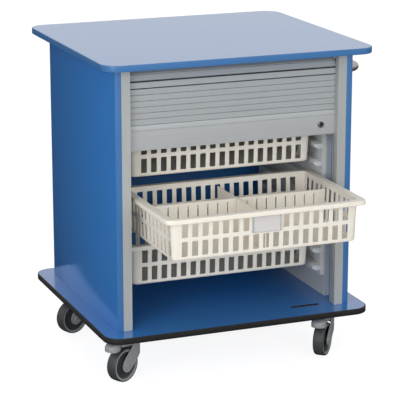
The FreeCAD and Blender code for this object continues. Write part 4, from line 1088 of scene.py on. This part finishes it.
def wheel_meshes():
    """Tread, light rim ring and dark dished centre, each turned about the axle."""
    tread_seat, half_rim, rim_inner = 46.5 * mm, 15 * mm, 40 * mm
    half_web, half_hub, hub_radius, bore = 11 * mm, 18.5 * mm, 13 * mm, 5.05 * mm
    tread_drop, tread_sunk, tread_steps = 3.3 * mm, 1 * mm, 6
    tread = [(tread_seat - tread_sunk, -half_rim)]
    for step in range(-tread_steps, tread_steps + 1):
        share = step / tread_steps
        radius = wheel_radius - tread_drop * abs(share) ** 3
        tread.append((radius, wheel_half * math.sin(share * math.pi / 2)))
    tread.append((tread_seat - tread_sunk, half_rim))
    rim_outer, rim_soft = tread_seat - 1.1 * mm, 0.8 * mm
    half = [(rim_outer, half_rim), (rim_inner + rim_soft, half_rim), (rim_inner, half_rim - rim_soft)]
    half.append((rim_inner, half_web))
    rim = [(radius, -along) for radius, along in reversed(half)] + half
    web_gap, web_soft, web_edge, hub_fillet = 0.05 * mm, 1 * mm, 3 * mm, 4 * mm
    half = [
        (rim_inner - web_gap, half_web),
        (rim_inner - web_edge, half_web - web_soft),
        (hub_radius + hub_fillet, half_web - web_soft),
        (hub_radius, half_web + web_soft),
        (hub_radius, half_hub - web_soft),
        (hub_radius - web_soft, half_hub),
        (bore, half_hub),
    ]
    centre = half + [(radius, -along) for radius, along in reversed(half)]
    meshes = []
    for profile in (tread, rim, centre):
        mesh = bmesh.new()
        turn_about(mesh, profile, hub, sideways, steps=64)
        meshes.append(mesh)
    return meshes


def add_plate(mesh, outline, near, far, soft):
    """Add a plate with its outline in x and z and its thickness along y, its rims rounded."""
    loops = [[mesh.verts.new((x, y, z)) for x, z in outline] for y in (near, far)]
    for here in range(len(outline)):
        after = (here + 1) % len(outline)
        mesh.faces.new((loops[0][here], loops[0][after], loops[1][after], loops[1][here]))
    caps = [mesh.faces.new(list(reversed(loops[0]))), mesh.faces.new(loops[1])]
    rims = [edge for cap in caps for edge in cap.edges]
    bmesh.ops.bevel(
        mesh, geom=rims, offset=soft, segments=2, profile=0.5, affect="EDGES", clamp_overlap=True
    )


def pedal_mesh():
    """A hollow cap with a domed top, on an arm between the fork's legs and a pin through them."""
    mesh = bmesh.new()
    tip, start, half, corner, least_corner = 101 * mm, 57 * mm, 22 * mm, 20 * mm, 2 * mm
    deck, foot, wall, dome = -9 * mm, -35 * mm, 3 * mm, 12 * mm
    heel_rise, lip_rise, nose_drop = 9 * mm, 2 * mm, 6 * mm
    soft = 0.5 * mm
    section = [(wall + dome / 2, deck - wall), (wall, deck - wall - dome / 2), (wall, foot)]
    section += [(wall - soft, foot), (soft, foot), (0, foot + soft)]
    section += [(inset, deck - rise) for inset, rise in reversed(quarter_round(dome, 5))]
    loops = []
    for inset, z in section:
        radius = max(corner - inset, least_corner)
        ring = round_rectangle(start + inset, tip - inset, inset - half, half - inset, radius, z, 6)
        for point in ring:
            low_part = (deck - point.z) / (deck - foot)
            outward = (point.x - start) / (tip - start)
            point.z += low_part * (heel_rise * (1 - outward) ** 2 + lip_rise * outward**3)
            point.z -= (1 - low_part) * nose_drop * outward**2
        loops.append(ring)
    skin(mesh, loops)
    pivot_x, pivot_z, arm_half, arm_gap, arm_soft = 4 * mm, -28 * mm, 18.5 * mm, 1.5 * mm, 1 * mm
    hub_radius, pin_radius, pin_proud = 6 * mm, 3 * mm, 0.5 * mm
    arm = (
        (pivot_x, pivot_z - wall),
        (start + wall, pivot_z + wall),
        (start + wall, deck - wall),
        (crown_radius + wall, crown_foot - arm_gap),
        (pivot_x, crown_foot - arm_gap),
    )
    add_plate(mesh, arm, -arm_half, arm_half, arm_soft)
    for radius, reach in ((hub_radius, arm_half), (pin_radius, leg_outer + pin_proud)):
        inner, shy = radius * 0.75, reach - radius / 4
        profile = ((inner, -reach), (radius, -shy), (radius, shy), (inner, reach))
        turn_about(mesh, profile, (pivot_x, 0, pivot_z), sideways, "capped", 24)
    return mesh


def axle_mesh():
    """A pin through the fork with a low domed end on each side."""
    mesh = bmesh.new()
    proud, head_radius, shank = 2.5 * mm, 8 * mm, 5 * mm
    dome = ((1, 0), (1, 0.3), (0.88, 0.72), (0.55, 0.95), (0.2, 1))
    half = [(shank, leg_outer)]
    half += [(head_radius * part, leg_outer + proud * rise) for part, rise in dome]
    profile = [(radius, -along) for radius, along in reversed(half)] + half
    turn_about(mesh, profile, hub, sideways, "capped", 32)
    return mesh


braked = ("front_left", "front_right")
for name in (*braked, "back_left", "back_right"):
    add_seated(name, "fork_housing", fork_mesh(), housing_nylon, "castor", "castor_nylon", "castor_fork")
    add_seated(name, "axle_ends", axle_mesh(), housing_nylon, "castor", "castor_nylon", "castor_axle")
    tread, rim, centre = wheel_meshes()
    add_seated(name, "wheel_tread", tread, tread_rubber, "wheel", "tyre_rubber", "tyre")
    add_seated(name, "wheel_rim", rim, housing_nylon, "wheel", "wheel_grey", "wheel_centre")
    add_seated(name, "wheel_web", centre, web_nylon, "wheel", "wheel_grey", "wheel_centre")
    dress(housing_nylon, f"castor_plate_{name}")
    dress(plated_steel, f"castor_bolts_{name}")
for name in braked:
    add_seated(name, "pedal_cap", pedal_mesh(), housing_nylon, "pedal", "castor_nylon", "brake_pedal")
